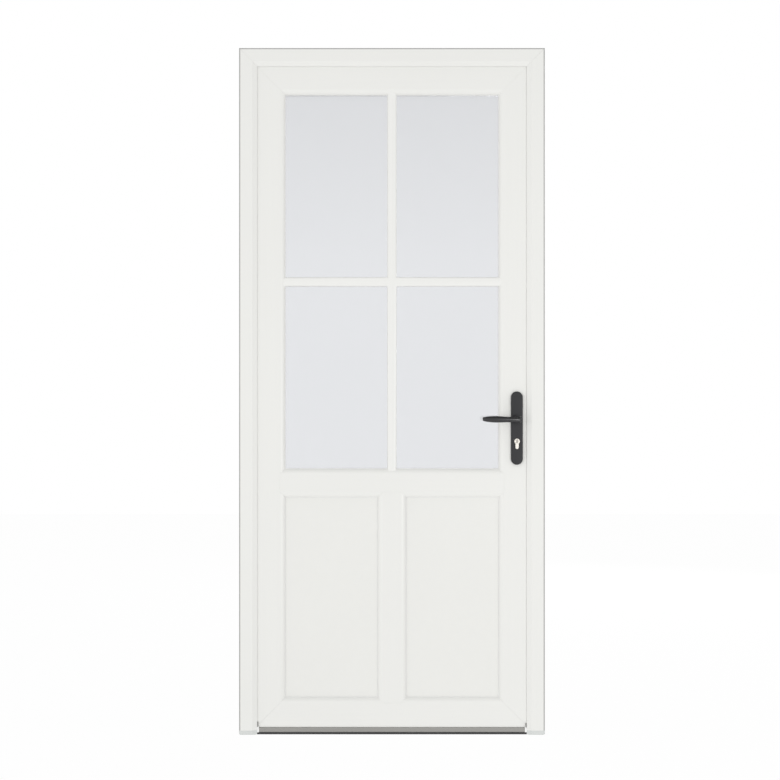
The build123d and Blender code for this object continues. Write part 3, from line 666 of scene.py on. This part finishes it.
    @classmethod
    def spread(cls, piece: Piece, places: list[Point]) -> None:
        """Repeat a closed piece that stands at the first place at the others, and keep all of it as one."""
        shifts = [tuple(b - a for a, b in zip(places[0], place)) for place in places[1:]]
        copies = [cls.copy(piece, f"{piece.name}_{index}", shift) for index, shift in enumerate(shifts)]
        cls.join(piece, *copies)

    @staticmethod
    def hand_over(piece: Piece, body: str, finish: Finish, angle: float = 35.0) -> None:
        """Smooth a closed piece, give it its finish and let it ride on its body.

        Args:
            piece: The piece.
            body: The body that it moves with.
            finish: Its finish.
            angle: Edges sharper than this stay sharp, in degrees.
        """
        Bench.only(piece)
        bpy.ops.object.shade_smooth_by_angle(angle=math.radians(angle))
        piece.data.materials.clear()
        piece.data.materials.append(finish.material())
        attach(piece, body)
        LOG.info("%s on %s: %d faces in %s", piece.name, body, len(piece.data.polygons), finish.name)

    @classmethod
    def caps(cls, name: str, places: list[Point], way: Way, shape: Drum) -> Piece:
        """Model caps at several places.

        Args:
            name: The piece's name.
            places: The middles of their seats.
            way: The way that they face.
            shape: Their shape.

        Returns:
            The caps as one piece, closed.
        """
        piece = cls.drum(name, places[0], way, shape)
        cls.face(way)
        bpy.ops.mesh.inset(thickness=shape.rim)
        cls.push(way.axis() * -shape.dish)
        cls.close()
        cls.spread(piece, places)
        return piece

    @classmethod
    def screws(cls, name: str, places: list[Point], way: Way, radius: float = 0.0036) -> Piece:
        """Model the heads of countersunk screws with star sockets.

        Args:
            name: The piece's name.
            places: The middles of their seats.
            way: The way that they face.
            radius: Their radius.

        Returns:
            The heads as one piece, closed.
        """
        axis = way.axis()
        top = Vector(places[0]) + axis * cls.HEAD_HEIGHT
        piece = cls.drum(name, places[0], way, Drum(radius, cls.HEAD_HEIGHT, edge=0.0004, steps=2, sides=12))
        cls.face(way)
        bpy.ops.mesh.inset(thickness=radius * cls.SOCKET_INSET)
        shape = bmesh.from_edit_mesh(piece.data)
        inner = [corner.co.copy() for corner in shape.verts if corner.select]
        waists = sorted(inner, key=lambda at: cls.turn(at - top, axis))[::2]
        cls.pick(Kind.CORNERS, lambda at, normal: any((at - waist).length < CLOSE for waist in waists))
        cls.resize((cls.SOCKET_WAIST,) * 3, top)
        cls.pick(Kind.FACES, lambda at, normal: (at - top).length < radius * 0.1)
        cls.push(axis * -cls.SOCKET_DEPTH)
        cls.close()
        cls.spread(piece, places)
        return piece

    @staticmethod
    def turn(arm: Vector, axis: Vector) -> float:
        """Give back the angle of an arm about an axis."""
        side = axis.orthogonal().normalized()
        return math.atan2(arm.dot(axis.cross(side)), arm.dot(side))


def dress(finish: Finish, *nodes: str) -> None:
    """Give CAD nodes their finish."""
    for name in nodes:
        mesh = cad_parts[name].data
        mesh.materials.clear()
        mesh.materials.append(finish.material())
    LOG.info("dressed %s in %s", ", ".join(nodes), finish.name)


@dataclass
class OuterFrame:
    """Mitred frame with its feet, seal, keepers and fixings."""

    web_x: float = 0.4475
    pad: tuple[Point, Point] = ((-0.4305, -0.0275, 0.024), (-0.4271, -0.023, 0.04))
    pad_round: float = 0.0016
    pad_rim: float = 0.0007
    pad_dish: float = 0.0005
    pad_shift: Point = (0.8576, 0.0, -0.004)
    cap_heights: tuple[float, ...] = (0.3, 0.72, 1.34, 1.62, 2.05)
    cap_depth: float = 0.012
    cap: Drum = Drum(0.0065, 0.0012, edge=0.0008, rim=0.0016, dish=0.0004, sides=24)
    keeper_face: float = 0.4445
    keeper_depth: float = 0.008
    keeper_screw_heights: tuple[float, ...] = (0.174, 0.298, 0.838, 0.946, 0.996, 1.104, 1.644, 1.768)

    def build(self) -> None:
        """Dress the frame and fit its small pieces."""
        dress(FRAME_UPRIGHT, "left_jamb", "right_jamb")
        dress(FRAME_LEVEL, "head")
        dress(FOOT, "left_jamb_foot", "right_jamb_foot")
        dress(SEAL, "frame_seal")
        dress(STEEL, "lock_keepers")
        self.painted_shade_pads()
        self.fixing_caps()
        self.keeper_screws()

    def painted_shade_pads(self) -> None:
        """Grey pads at the lower ends of the seal in front of the leaf, on the end blocks; their grey is
        painted shade where the gap lines end.
        """
        low, high = self.pad
        pad = Bench.block("left_painted_shade_pad", low, high)
        Bench.pick(Kind.EDGES, lambda at, along: at.x > high[0] - CLOSE and at.z > low[2] + CLOSE)
        Bench.bevel(self.pad_round, 4)
        Bench.pick(Kind.FACES, lambda at, normal: normal.y < -0.99)
        bpy.ops.mesh.inset(thickness=self.pad_rim)
        Bench.push((0.0, self.pad_dish, 0.0))
        Bench.close()
        for piece in (pad, Bench.copy(pad, "right_painted_shade_pad", self.pad_shift)):
            # The pads' grey stands in for the shade at the feet of the gap lines
            Bench.hand_over(piece, "frame", PAINTED_SHADE_PAD)

    def fixing_caps(self) -> None:
        """White caps over the frame's wall screws, in the rebates of both jambs."""
        for name, side, way in (("left_fixing_caps", -1.0, Way.RIGHT), ("right_fixing_caps", 1.0, Way.LEFT)):
            places = [(side * self.web_x, self.cap_depth, height) for height in self.cap_heights]
            Bench.hand_over(Bench.caps(name, places, way, self.cap), "frame", BLOCK)

    def keeper_screws(self) -> None:
        """Two screws for each bolt's slot in the keepers."""
        places = [(self.keeper_face, self.keeper_depth, height) for height in self.keeper_screw_heights]
        Bench.hand_over(Bench.screws("keeper_screws", places, Way.LEFT), "frame", SCREW)


@dataclass
class Threshold:
    """Aluminium sill on its dark base, with white blocks at its ends."""

    top: float = 0.016
    screw_depth: float = 0.0305
    screw_radius: float = 0.004
    screw_places: tuple[float, ...] = (-0.37, -0.123, 0.123, 0.37)

    def build(self) -> None:
        """Dress the threshold and fit its screws."""
        dress(SILL, "threshold")
        dress(BASE, "threshold_base")
        dress(BLOCK, "left_threshold_end", "right_threshold_end")
        places = [(place, self.screw_depth, self.top) for place in self.screw_places]
        Bench.hand_over(Bench.screws("threshold_screws", places, Way.UP, self.screw_radius), "frame", SCREW)


@dataclass
class Leaf:
    """Moulded leaf with its panels, beads and seals."""

    carrier: tuple[Point, Point] = ((-0.4365, -0.016, 0.0198), (0.4365, -0.01, 0.021))
    carrier_round: float = 0.0005
    tuft: tuple[Point, Point] = ((-0.4365, -0.0139, 0.0165), (-0.4354, -0.0121, 0.02))
    tuft_spread: Point = (1.25, 1.9, 1.0)
    tuft_pitch: float = 0.0018
    tuft_count: int = 485

    def build(self) -> None:
        """Dress the leaf and fit its brush."""
        dress(LEAF_UPRIGHT, "hinge_stile", "lock_stile", "panel_stile")
        dress(LEAF_LEVEL, "top_rail", "middle_rail", "bottom_rail")
        dress(PANEL, "left_panel", "right_panel")
        dress(BAR, "glass_beads", "left_panel_beads", "right_panel_beads")
        dress(GASKET, "outer_gaskets")
        dress(DARK_GASKET, "inner_gaskets")
        dress(SEAL, "leaf_seal")
        self.brush()

    def brush(self) -> None:
        """Brush under the leaf: a carrier strip and rows of bristle tufts."""
        strip = Bench.block("brush_carrier", *self.carrier)
        Bench.rim(Way.DOWN, -self.carrier[0][2], self.carrier_round, 2)
        Bench.close()
        Bench.hand_over(strip, "leaf", SEAL)
        tuft = Bench.block("brush_bristles", *self.tuft)
        Bench.face(Way.DOWN)
        Bench.resize(self.tuft_spread, ((a + b) / 2 for a, b in zip(*self.tuft)))
        Bench.apply(
            tuft, "ARRAY", count=self.tuft_count, use_relative_offset=False,
            use_constant_offset=True, constant_offset_displace=(self.tuft_pitch, 0.0, 0.0),
        )
        Bench.close()
        Bench.hand_over(tuft, "leaf", BRISTLE)
        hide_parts("brush_seal")


@dataclass
class Glazing:
    """Double glass with a cross of bars on each face, the outer one rounded and coped into the mouldings.

    The sight is half the size of the glass that shows, the section heights above it and shares of the width.
    """

    pane_front: float = -0.010
    middle: float = 1.446
    sight: Pair = (0.3425, 0.599)
    bar_width: float = 0.030
    bar_lap: float = 0.0085
    section: tuple[Pair, ...] = (
        (0.0020, 1.0), (0.0050, 0.97), (0.0070, 0.90), (0.0083, 0.76), (0.0090, 0.56),
    )

    def build(self) -> None:
        """Dress the glass and the inner bars, and model the outer ones."""
        dress(GLASS, "outer_pane", "inner_pane")
        dress(SPACER, "pane_spacer")
        dress(BAR, "inner_glazing_bars")
        half = self.bar_width / 2
        cross = self.bar("outer_bar_cross", (half, self.sight[1] + self.bar_lap))
        level = self.bar("level_bar", (self.sight[0] + self.bar_lap, half))
        Bench.carve(cross, level, "UNION")
        Bench.hand_over(cross, "leaf", BAR)
        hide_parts("outer_glazing_bars")

    def bar(self, name: str, half: Pair) -> Piece:
        """Model a bar that narrows towards its front.

        Args:
            name: The piece's name.
            half: Half its width and half its height.

        Returns:
            The bar, closed.
        """
        across, up = half
        low = (-across, self.pane_front - self.section[0][0], self.middle - up)
        piece = Bench.block(name, low, (across, self.pane_front, self.middle + up))
        Bench.face(Way.OUT)
        rows = []
        for height, share in self.section:
            scale = (share, 1.0, 1.0) if up > across else (1.0, 1.0, share)
            rows.append((Vector((0.0, self.pane_front - height, self.middle)), scale))
        Bench.draw_out(rows)
        Bench.close()
        return piece


@dataclass
class LockSet:
    """Levers on their plates, the cylinder and the lock in the leaf's edge.

    The arm's rows give shares of its length and breadth and how far it is set back towards the plate.
    The neck's rows give distances from its foot in the arm and shares of its radius.
    """

    lock_x: float = 0.399
    leaf_front: float = -0.022
    leaf_middle: float = 0.013
    leaf_back: float = 0.048
    lever_z: float = 1.006
    cylinder_z: float = 0.936
    plate_radius: float = 0.0189
    plate_middle: float = 0.978
    plate_stretch: float = 0.0981
    plate_thickness: float = 0.009
    plate_edge: float = 0.0024
    plate_screw_radius: float = 0.0042
    collar: Drum = Drum(0.013, 0.004, edge=0.0009)
    collar_height: float = 0.003
    lever_bore: Drum = Drum(0.0091, 0.06)
    cylinder_bore: Drum = Drum(0.0088, 0.06)
    leg: tuple[Point, Point] = ((0.3937, -0.06, 0.9112), (0.4043, 0.0, 0.936))
    leg_round: float = 0.005
    neck_radius: float = 0.009
    neck_foot: float = 0.005
    lever_standoff: float = 0.045
    lever_reach: float = 0.1125
    lever_heel: float = 0.0095
    lever_breadth: float = 0.0224
    lever_depth: float = 0.0162
    tip_rise: float = 0.0017
    inner_reach: float = 0.097
    inner_girth: float = 0.9
    inner_tip_rise: float = -0.0015
    ring_radius: float = 0.0064
    ring_width: float = 0.0009
    ring_height: float = 0.0006
    ring_sink: float = 0.0001
    ring_round: float = 0.0002
    ward: tuple[Point, Point] = ((0.3978, -0.0334, 0.9328), (0.3993, -0.022, 0.9346))
    ward_round: float = 0.0004
    ward_shift: Point = (0.0009, 0.0, 0.0042)
    faceplate_x: float = 0.4365
    faceplate_middle: float = 0.008
    faceplate_screws: tuple[float, ...] = (0.2, 0.31, 0.56, 0.8, 0.936, 0.982, 1.16, 1.42, 1.62, 1.8, 1.96)
    arm: tuple[Point, ...] = (
        (0.0, 0.80, 0.0098), (0.006, 0.96, 0.0092), (0.020, 1.02, 0.0080), (0.045, 0.89, 0.0062),
        (0.085, 0.81, 0.0047), (0.145, 0.775, 0.0033), (0.250, 0.775, 0.0019), (0.365, 0.805, 0.0009),
        (0.500, 0.885, 0.0002), (0.620, 0.945, 0.0), (0.720, 0.940, 0.0001), (0.830, 0.855, 0.0004),
        (0.920, 0.705, 0.0009), (0.978, 0.545, 0.0013), (0.996, 0.44, 0.0014), (1.0, 0.36, 0.0014),
    )
    neck: tuple[Pair, ...] = (
        (0.0, 0.9), (0.005, 1.0), (0.0095, 1.0), (0.0145, 0.93),
        (0.021, 0.9), (0.032, 0.93), (0.039, 0.99), (0.0435, 0.99),
    )

    def build(self) -> None:
        """Dress the lock and model its handles."""
        dress(NICKEL, "lock_cylinder")
        dress(PLUG, "key_plug")
        dress(STEEL, "lock_faceplate", "lock_bolts", "lever_spindle")
        self.plates()
        self.levers()
        self.key_face()
        self.edge_screws()

    def plates(self) -> None:
        """Long rounded plates with a raised collar and a hole for the cylinder, one on each side."""
        front = self.leaf_front - self.plate_thickness
        middle, stretch = self.plate_middle, self.plate_stretch
        foot = (self.lock_x, self.leaf_front, middle)
        plate = Bench.disc("outer_long_plate", foot, self.plate_radius, Way.OUT, sides=64)
        for side in (-1.0, 1.0):
            Bench.pick(Kind.CORNERS, lambda at, normal: side * (at.z - middle) > CLOSE)
            bpy.ops.transform.translate(value=(0.0, 0.0, side * stretch))
        bpy.ops.mesh.select_all(action="SELECT")
        Bench.push((0.0, -self.plate_thickness, 0.0))
        Bench.rim(Way.OUT, -front, self.plate_edge, 5)
        Bench.close()
        foot = (self.lock_x, front - self.collar_height + self.collar.height, self.lever_z)
        collar = Bench.drum("collar", foot, Way.OUT, self.collar)
        Bench.close()
        Bench.carve(plate, collar, "UNION")
        for height, shape in ((self.lever_z, self.lever_bore), (self.cylinder_z, self.cylinder_bore)):
            bore = Bench.drum("bore", (self.lock_x, 0.0, height), Way.OUT, shape)
            Bench.close()
            Bench.carve(plate, bore)
        leg = Bench.block("leg_bore", *self.leg)
        Bench.pick(Kind.EDGES, lambda at, along: abs(along.y) > 0.9 and at.z < self.leg[0][2] + CLOSE)
        Bench.bevel(self.leg_round, 8)
        Bench.close()
        Bench.carve(plate, leg)
        inner = Bench.copy(plate, "inner_long_plate")
        Bench.mirror(inner, self.leaf_middle)
        for piece, node in ((plate, "outer_handle_plate"), (inner, "inner_handle_plate")):
            Bench.hand_over(piece, "leaf", ANTHRACITE, 40.0)
            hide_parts(node)
        seat = self.leaf_back + self.plate_thickness
        places = [(self.lock_x, seat, height) for height in (middle - stretch, middle + stretch)]
        screws = Bench.screws("inner_plate_screws", places, Way.IN, self.plate_screw_radius)
        Bench.hand_over(screws, "leaf", ANTHRACITE)

    def levers(self) -> None:
        """Smooth levers that swell towards a blunt tip, the inner one a little shorter and slimmer."""
        outer = self.lever("outer_lever_grip", self.lever_reach, 1.0, self.tip_rise)
        inner = self.lever("inner_lever_grip", self.inner_reach, self.inner_girth, self.inner_tip_rise)
        Bench.mirror(inner, self.leaf_middle)
        for piece, node in ((outer, "outer_lever"), (inner, "inner_lever")):
            Bench.hand_over(piece, "lever", LEVER_COAT, 60.0)
            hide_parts(node)

    def lever(self, name: str, reach: float, girth: float, tip_rise: float) -> Piece:
        """Model a lever on the outer side: a swelling arm on a waisted neck.

        Args:
            name: The piece's name.
            reach: Distance from its axis to its tip.
            girth: Its thickness as a share of the outer lever's.
            tip_rise: How far its tip stands above its axis.

        Returns:
            The lever, closed.
        """
        arm_y = self.leaf_front - self.plate_thickness - self.lever_standoff
        start = Vector((self.lock_x + self.lever_heel, arm_y + self.arm[0][2], self.lever_z))
        length = self.lever_heel + reach
        arm = Bench.disc(name, start, girth * self.lever_breadth / 2, Way.LEFT, sides=20)
        heel = self.arm[0][1]
        Bench.resize((1.0, self.lever_depth / self.lever_breadth * heel, heel), start)
        rows = []
        for along, share, set_back in self.arm:
            rise = tip_rise * max(along * length - self.lever_heel, 0.0) / reach
            place = Vector((start.x - along * length, arm_y + set_back, self.lever_z + rise))
            rows.append((place, (1.0, share, share)))
        Bench.draw_out(rows)
        Bench.apply(arm, "SUBSURF", levels=2, render_levels=2)
        Bench.close()
        foot = Vector((self.lock_x, arm_y + self.neck_foot, self.lever_z))
        neck = Bench.disc("neck", foot, self.neck_radius * self.neck[0][1], Way.IN, sides=20)
        Bench.draw_out((foot + Vector((0.0, along, 0.0)), (share, 1.0, share)) for along, share in self.neck)
        Bench.apply(neck, "SUBSURF", levels=2, render_levels=2)
        Bench.close()
        Bench.join(arm, neck)
        return arm

    def key_face(self) -> None:
        """Turned ring round the key plug and the ward inside its keyway."""
        front = self.leaf_front - self.plate_thickness - self.collar_height
        centre = Vector((self.lock_x, front + self.ring_sink, self.cylinder_z))
        ring = Bench.ring("key_ring", centre, self.ring_radius, self.ring_width, Way.OUT, sides=40)
        Bench.push((0.0, -self.ring_height, 0.0))
        Bench.rim(Way.OUT, self.ring_height - self.ring_sink - front, self.ring_round, 2)
        Bench.close()
        Bench.hand_over(ring, "plug", NICKEL)
        ward = Bench.block("key_ward", *self.ward)
        Bench.pick(Kind.EDGES, lambda at, along: at.x > self.lock_x and abs(along.y) > 0.9)
        Bench.bevel(self.ward_round)
        Bench.close()
        Bench.spread(ward, [(0.0, 0.0, 0.0), self.ward_shift])
        Bench.hand_over(ward, "plug", NICKEL)

    def edge_screws(self) -> None:
        """Screws along the faceplate."""
        places = [(self.faceplate_x, self.faceplate_middle, height) for height in self.faceplate_screws]
        Bench.hand_over(Bench.screws("faceplate_screws", places, Way.RIGHT), "leaf", SCREW)


@dataclass
class Hinges:
    """Three painted hinges on the inside."""

    names: tuple[str, ...] = ("lower", "middle", "upper")
    heights: Point = (0.23, 1.08, 1.93)
    axis_x: float = -0.47
    axis_y: float = 0.048
    half_length: float = 0.06
    cap: Drum = Drum(0.0077, 0.0022, edge=0.0016, rim=0.0026, dish=0.0006, steps=4, sides=32)
    washer_radius: float = 0.0084
    washer_width: float = 0.00335
    washer_drop: float = 0.0005
    washer_height: float = 0.0009
    plate_back: float = 0.052
    screw_x: float = -0.4405
    screw_rises: Pair = (0.014, 0.046)
    screw_radius: float = 0.0042

    def build(self) -> None:
        """Dress the hinges and fit their caps, washers and screws."""
        for name in self.names:
            dress(HINGE_PAINT, f"{name}_hinge_frame_half", f"{name}_hinge_leaf_half")
        for end, way, body in (("upper", Way.UP, "leaf"), ("lower", Way.DOWN, "frame")):
            places = self.places(self.half_length * way.axis().z)
            Bench.hand_over(Bench.caps(f"{end}_hinge_caps", places, way, self.cap), body, HINGE_PAINT)
        self.washers()
        self.plate_screws()

    def places(self, rise: float) -> list[Point]:
        """Give back the points on the hinges' axis at a rise above their middles."""
        return [(self.axis_x, self.axis_y, height + rise) for height in self.heights]

    def washers(self) -> None:
        """Nylon washers between the two halves of each barrel."""
        places = self.places(-self.washer_drop)
        centre = Vector(places[0])
        washers = Bench.ring("hinge_washers", centre, self.washer_radius, self.washer_width, Way.UP, sides=32)
        Bench.push((0.0, 0.0, self.washer_height))
        Bench.close()
        Bench.spread(washers, places)
        Bench.hand_over(washers, "frame", SEAL)

    def plate_screws(self) -> None:
        """Two screws in each leaf plate."""
        heights = (height + rise for height in self.heights for rise in self.screw_rises)
        places = [(self.screw_x, self.plate_back, height) for height in heights]
        Bench.hand_over(Bench.screws("hinge_screws", places, Way.IN, self.screw_radius), "leaf", HINGE_PAINT)


@dataclass(frozen=True)
class Lamp:
    """A soft rectangular lamp: its place, its width and height, and its power."""

    name: str
    place: Point
    size: Pair
    watts: float


@dataclass
class Studio:
    """Pale floor, soft light and the camera of the photograph."""

    eye_x: float = -0.0062
    eye_z: float = 1.0997
    distance: float = 4.5
    picture_plane: float = -0.035
    picture_width: float = 2.486
    sensor_width: float = 36.0
    tent: Pair = (0.55, 0.852)
    tent_seam: Pair = (0.15, -0.15)
    lean: Point = (-0.1, 0.0, -0.1)
    mirrored: tuple[Pair, ...] = (
        (-0.2, 1.0), (0.09, 1.0), (0.21, 0.91), (0.38, 0.9), (0.5, 0.6), (0.75, 0.3),
    )
    floor_size: float = 16.0
    floor_grey: float = 0.92
    floor_glow: float = 0.97
    lamp_target: Point = (0.0, 0.0, 1.1)
    lamps: tuple[Lamp, ...] = (
        Lamp("key_softbox", (-2.4, -4.0, 0.9), (2.4, 2.4), 22.0),
        Lamp("fill_softbox", (2.2, -4.4, 0.75), (0.6, 1.5), 35.0),
        Lamp("inside_softbox", (1.6, 4.0, 2.0), (2.6, 2.6), 70.0),
    )

    def build(self) -> None:
        """Set the stage."""
        self.world()
        self.floor()
        for lamp in self.lamps:
            self.hang(lamp)
        self.camera()

    def world(self) -> None:
        """White to the camera and through glass, a soft gradient in reflections, dimmer as light."""
        world = bpy.data.worlds.new("studio")
        bpy.context.scene.world = world
        world.use_nodes = True
        graph = Graph(world.node_tree)
        path = graph.node("ShaderNodeLightPath").outputs
        shown = graph.math("MAXIMUM", path["Is Glossy Ray"], path["Is Transmission Ray"])
        way = graph.node("ShaderNodeTexCoord").outputs["Generated"]
        axes = graph.node("ShaderNodeSeparateXYZ", {0: way}).outputs
        tent = graph.ranged(axes["Y"], self.tent_seam, self.tent)
        lean = graph.node("ShaderNodeVectorMath", {0: way, 1: self.lean}, operation="DOT_PRODUCT")
        tent = graph.math("MULTIPLY", tent, graph.math("ADD", lean.outputs["Value"], 1.0))
        ramp = graph.node("ShaderNodeValToRGB", {0: graph.ranged(axes["Z"], (-1.0, 1.0), (0.0, 1.0))})
        while len(ramp.color_ramp.elements) < len(self.mirrored):
            ramp.color_ramp.elements.new(0.5)
        for stop, (height, grey) in zip(ramp.color_ramp.elements, self.mirrored):
            stop.position = (height + 1.0) / 2
            stop.color = (grey, grey, grey, 1.0)
        level = graph.node("ShaderNodeMix", {0: shown, 2: tent, 3: ramp.outputs[0]}).outputs[0]
        level = graph.node("ShaderNodeMix", {0: path["Is Camera Ray"], 2: level, 3: 1.0}).outputs[0]
        graph.fill(world.node_tree.nodes["Background"].inputs, {"Color": (1.0,) * 4, "Strength": level})

    def floor(self) -> None:
        """Pale floor that looks white to the camera and keeps the door's soft shadow."""
        bpy.ops.mesh.primitive_plane_add(size=self.floor_size)
        floor = bpy.context.object
        floor.name = "studio_floor"
        floor.visible_diffuse = False
        made = bpy.data.materials.new("studio_floor")
        made.use_nodes = True
        graph = Graph(made.node_tree)
        matte = {"Base Color": (self.floor_grey,) * 3 + (1.0,), "Roughness": 0.9, "Specular IOR Level": 0.0}
        graph.fill(made.node_tree.nodes["Principled BSDF"].inputs, matte)
        path = graph.node("ShaderNodeLightPath").outputs
        seen = graph.math("MAXIMUM", path["Is Camera Ray"], path["Is Transmission Ray"])
        seen = graph.math("MULTIPLY", graph.math("MAXIMUM", seen, path["Is Glossy Ray"]), self.floor_glow)
        graph.blend(seen, graph.node("ShaderNodeEmission", {"Strength": 1.0}).outputs[0])
        floor.data.materials.append(made)

    def hang(self, lamp: Lamp) -> None:
        """Hang a lamp, turned to the door.

        Args:
            lamp: The lamp.
        """
        data = bpy.data.lights.new(lamp.name, "AREA")
        data.shape = "RECTANGLE"
        data.size, data.size_y = lamp.size
        data.energy = lamp.watts
        hung = bpy.data.objects.new(lamp.name, data)
        hung.location = lamp.place
        hung.visible_camera = False
        hung.visible_transmission = False
        facing = Vector(self.lamp_target) - Vector(lamp.place)
        hung.rotation_euler = facing.to_track_quat("-Z", "Y").to_euler()
        bpy.context.scene.collection.objects.link(hung)

    def camera(self) -> None:
        """Set the camera square to the door, as in the photograph."""
        data = bpy.data.cameras.new("camera")
        data.sensor_width = self.sensor_width
        data.lens = self.sensor_width * self.distance / self.picture_width
        camera = bpy.data.objects.new("camera", data)
        camera.location = (self.eye_x, self.picture_plane - self.distance, self.eye_z)
        camera.rotation_euler = (math.pi / 2, 0.0, 0.0)
        bpy.context.scene.collection.objects.link(camera)
        bpy.context.scene.camera = camera


def main() -> None:
    """Build the door's looks, logging each assembly as it is built."""
    logging.basicConfig(level=logging.INFO, format="%(name)s: %(message)s")
    bpy.context.scene.view_settings.view_transform = "Standard"
    for assembly in (OuterFrame(), Threshold(), Leaf(), Glazing(), LockSet(), Hinges(), Studio()):
        assembly.build()
        LOG.info("built %s", type(assembly).__name__)


if __name__ == "__main__":
    main()
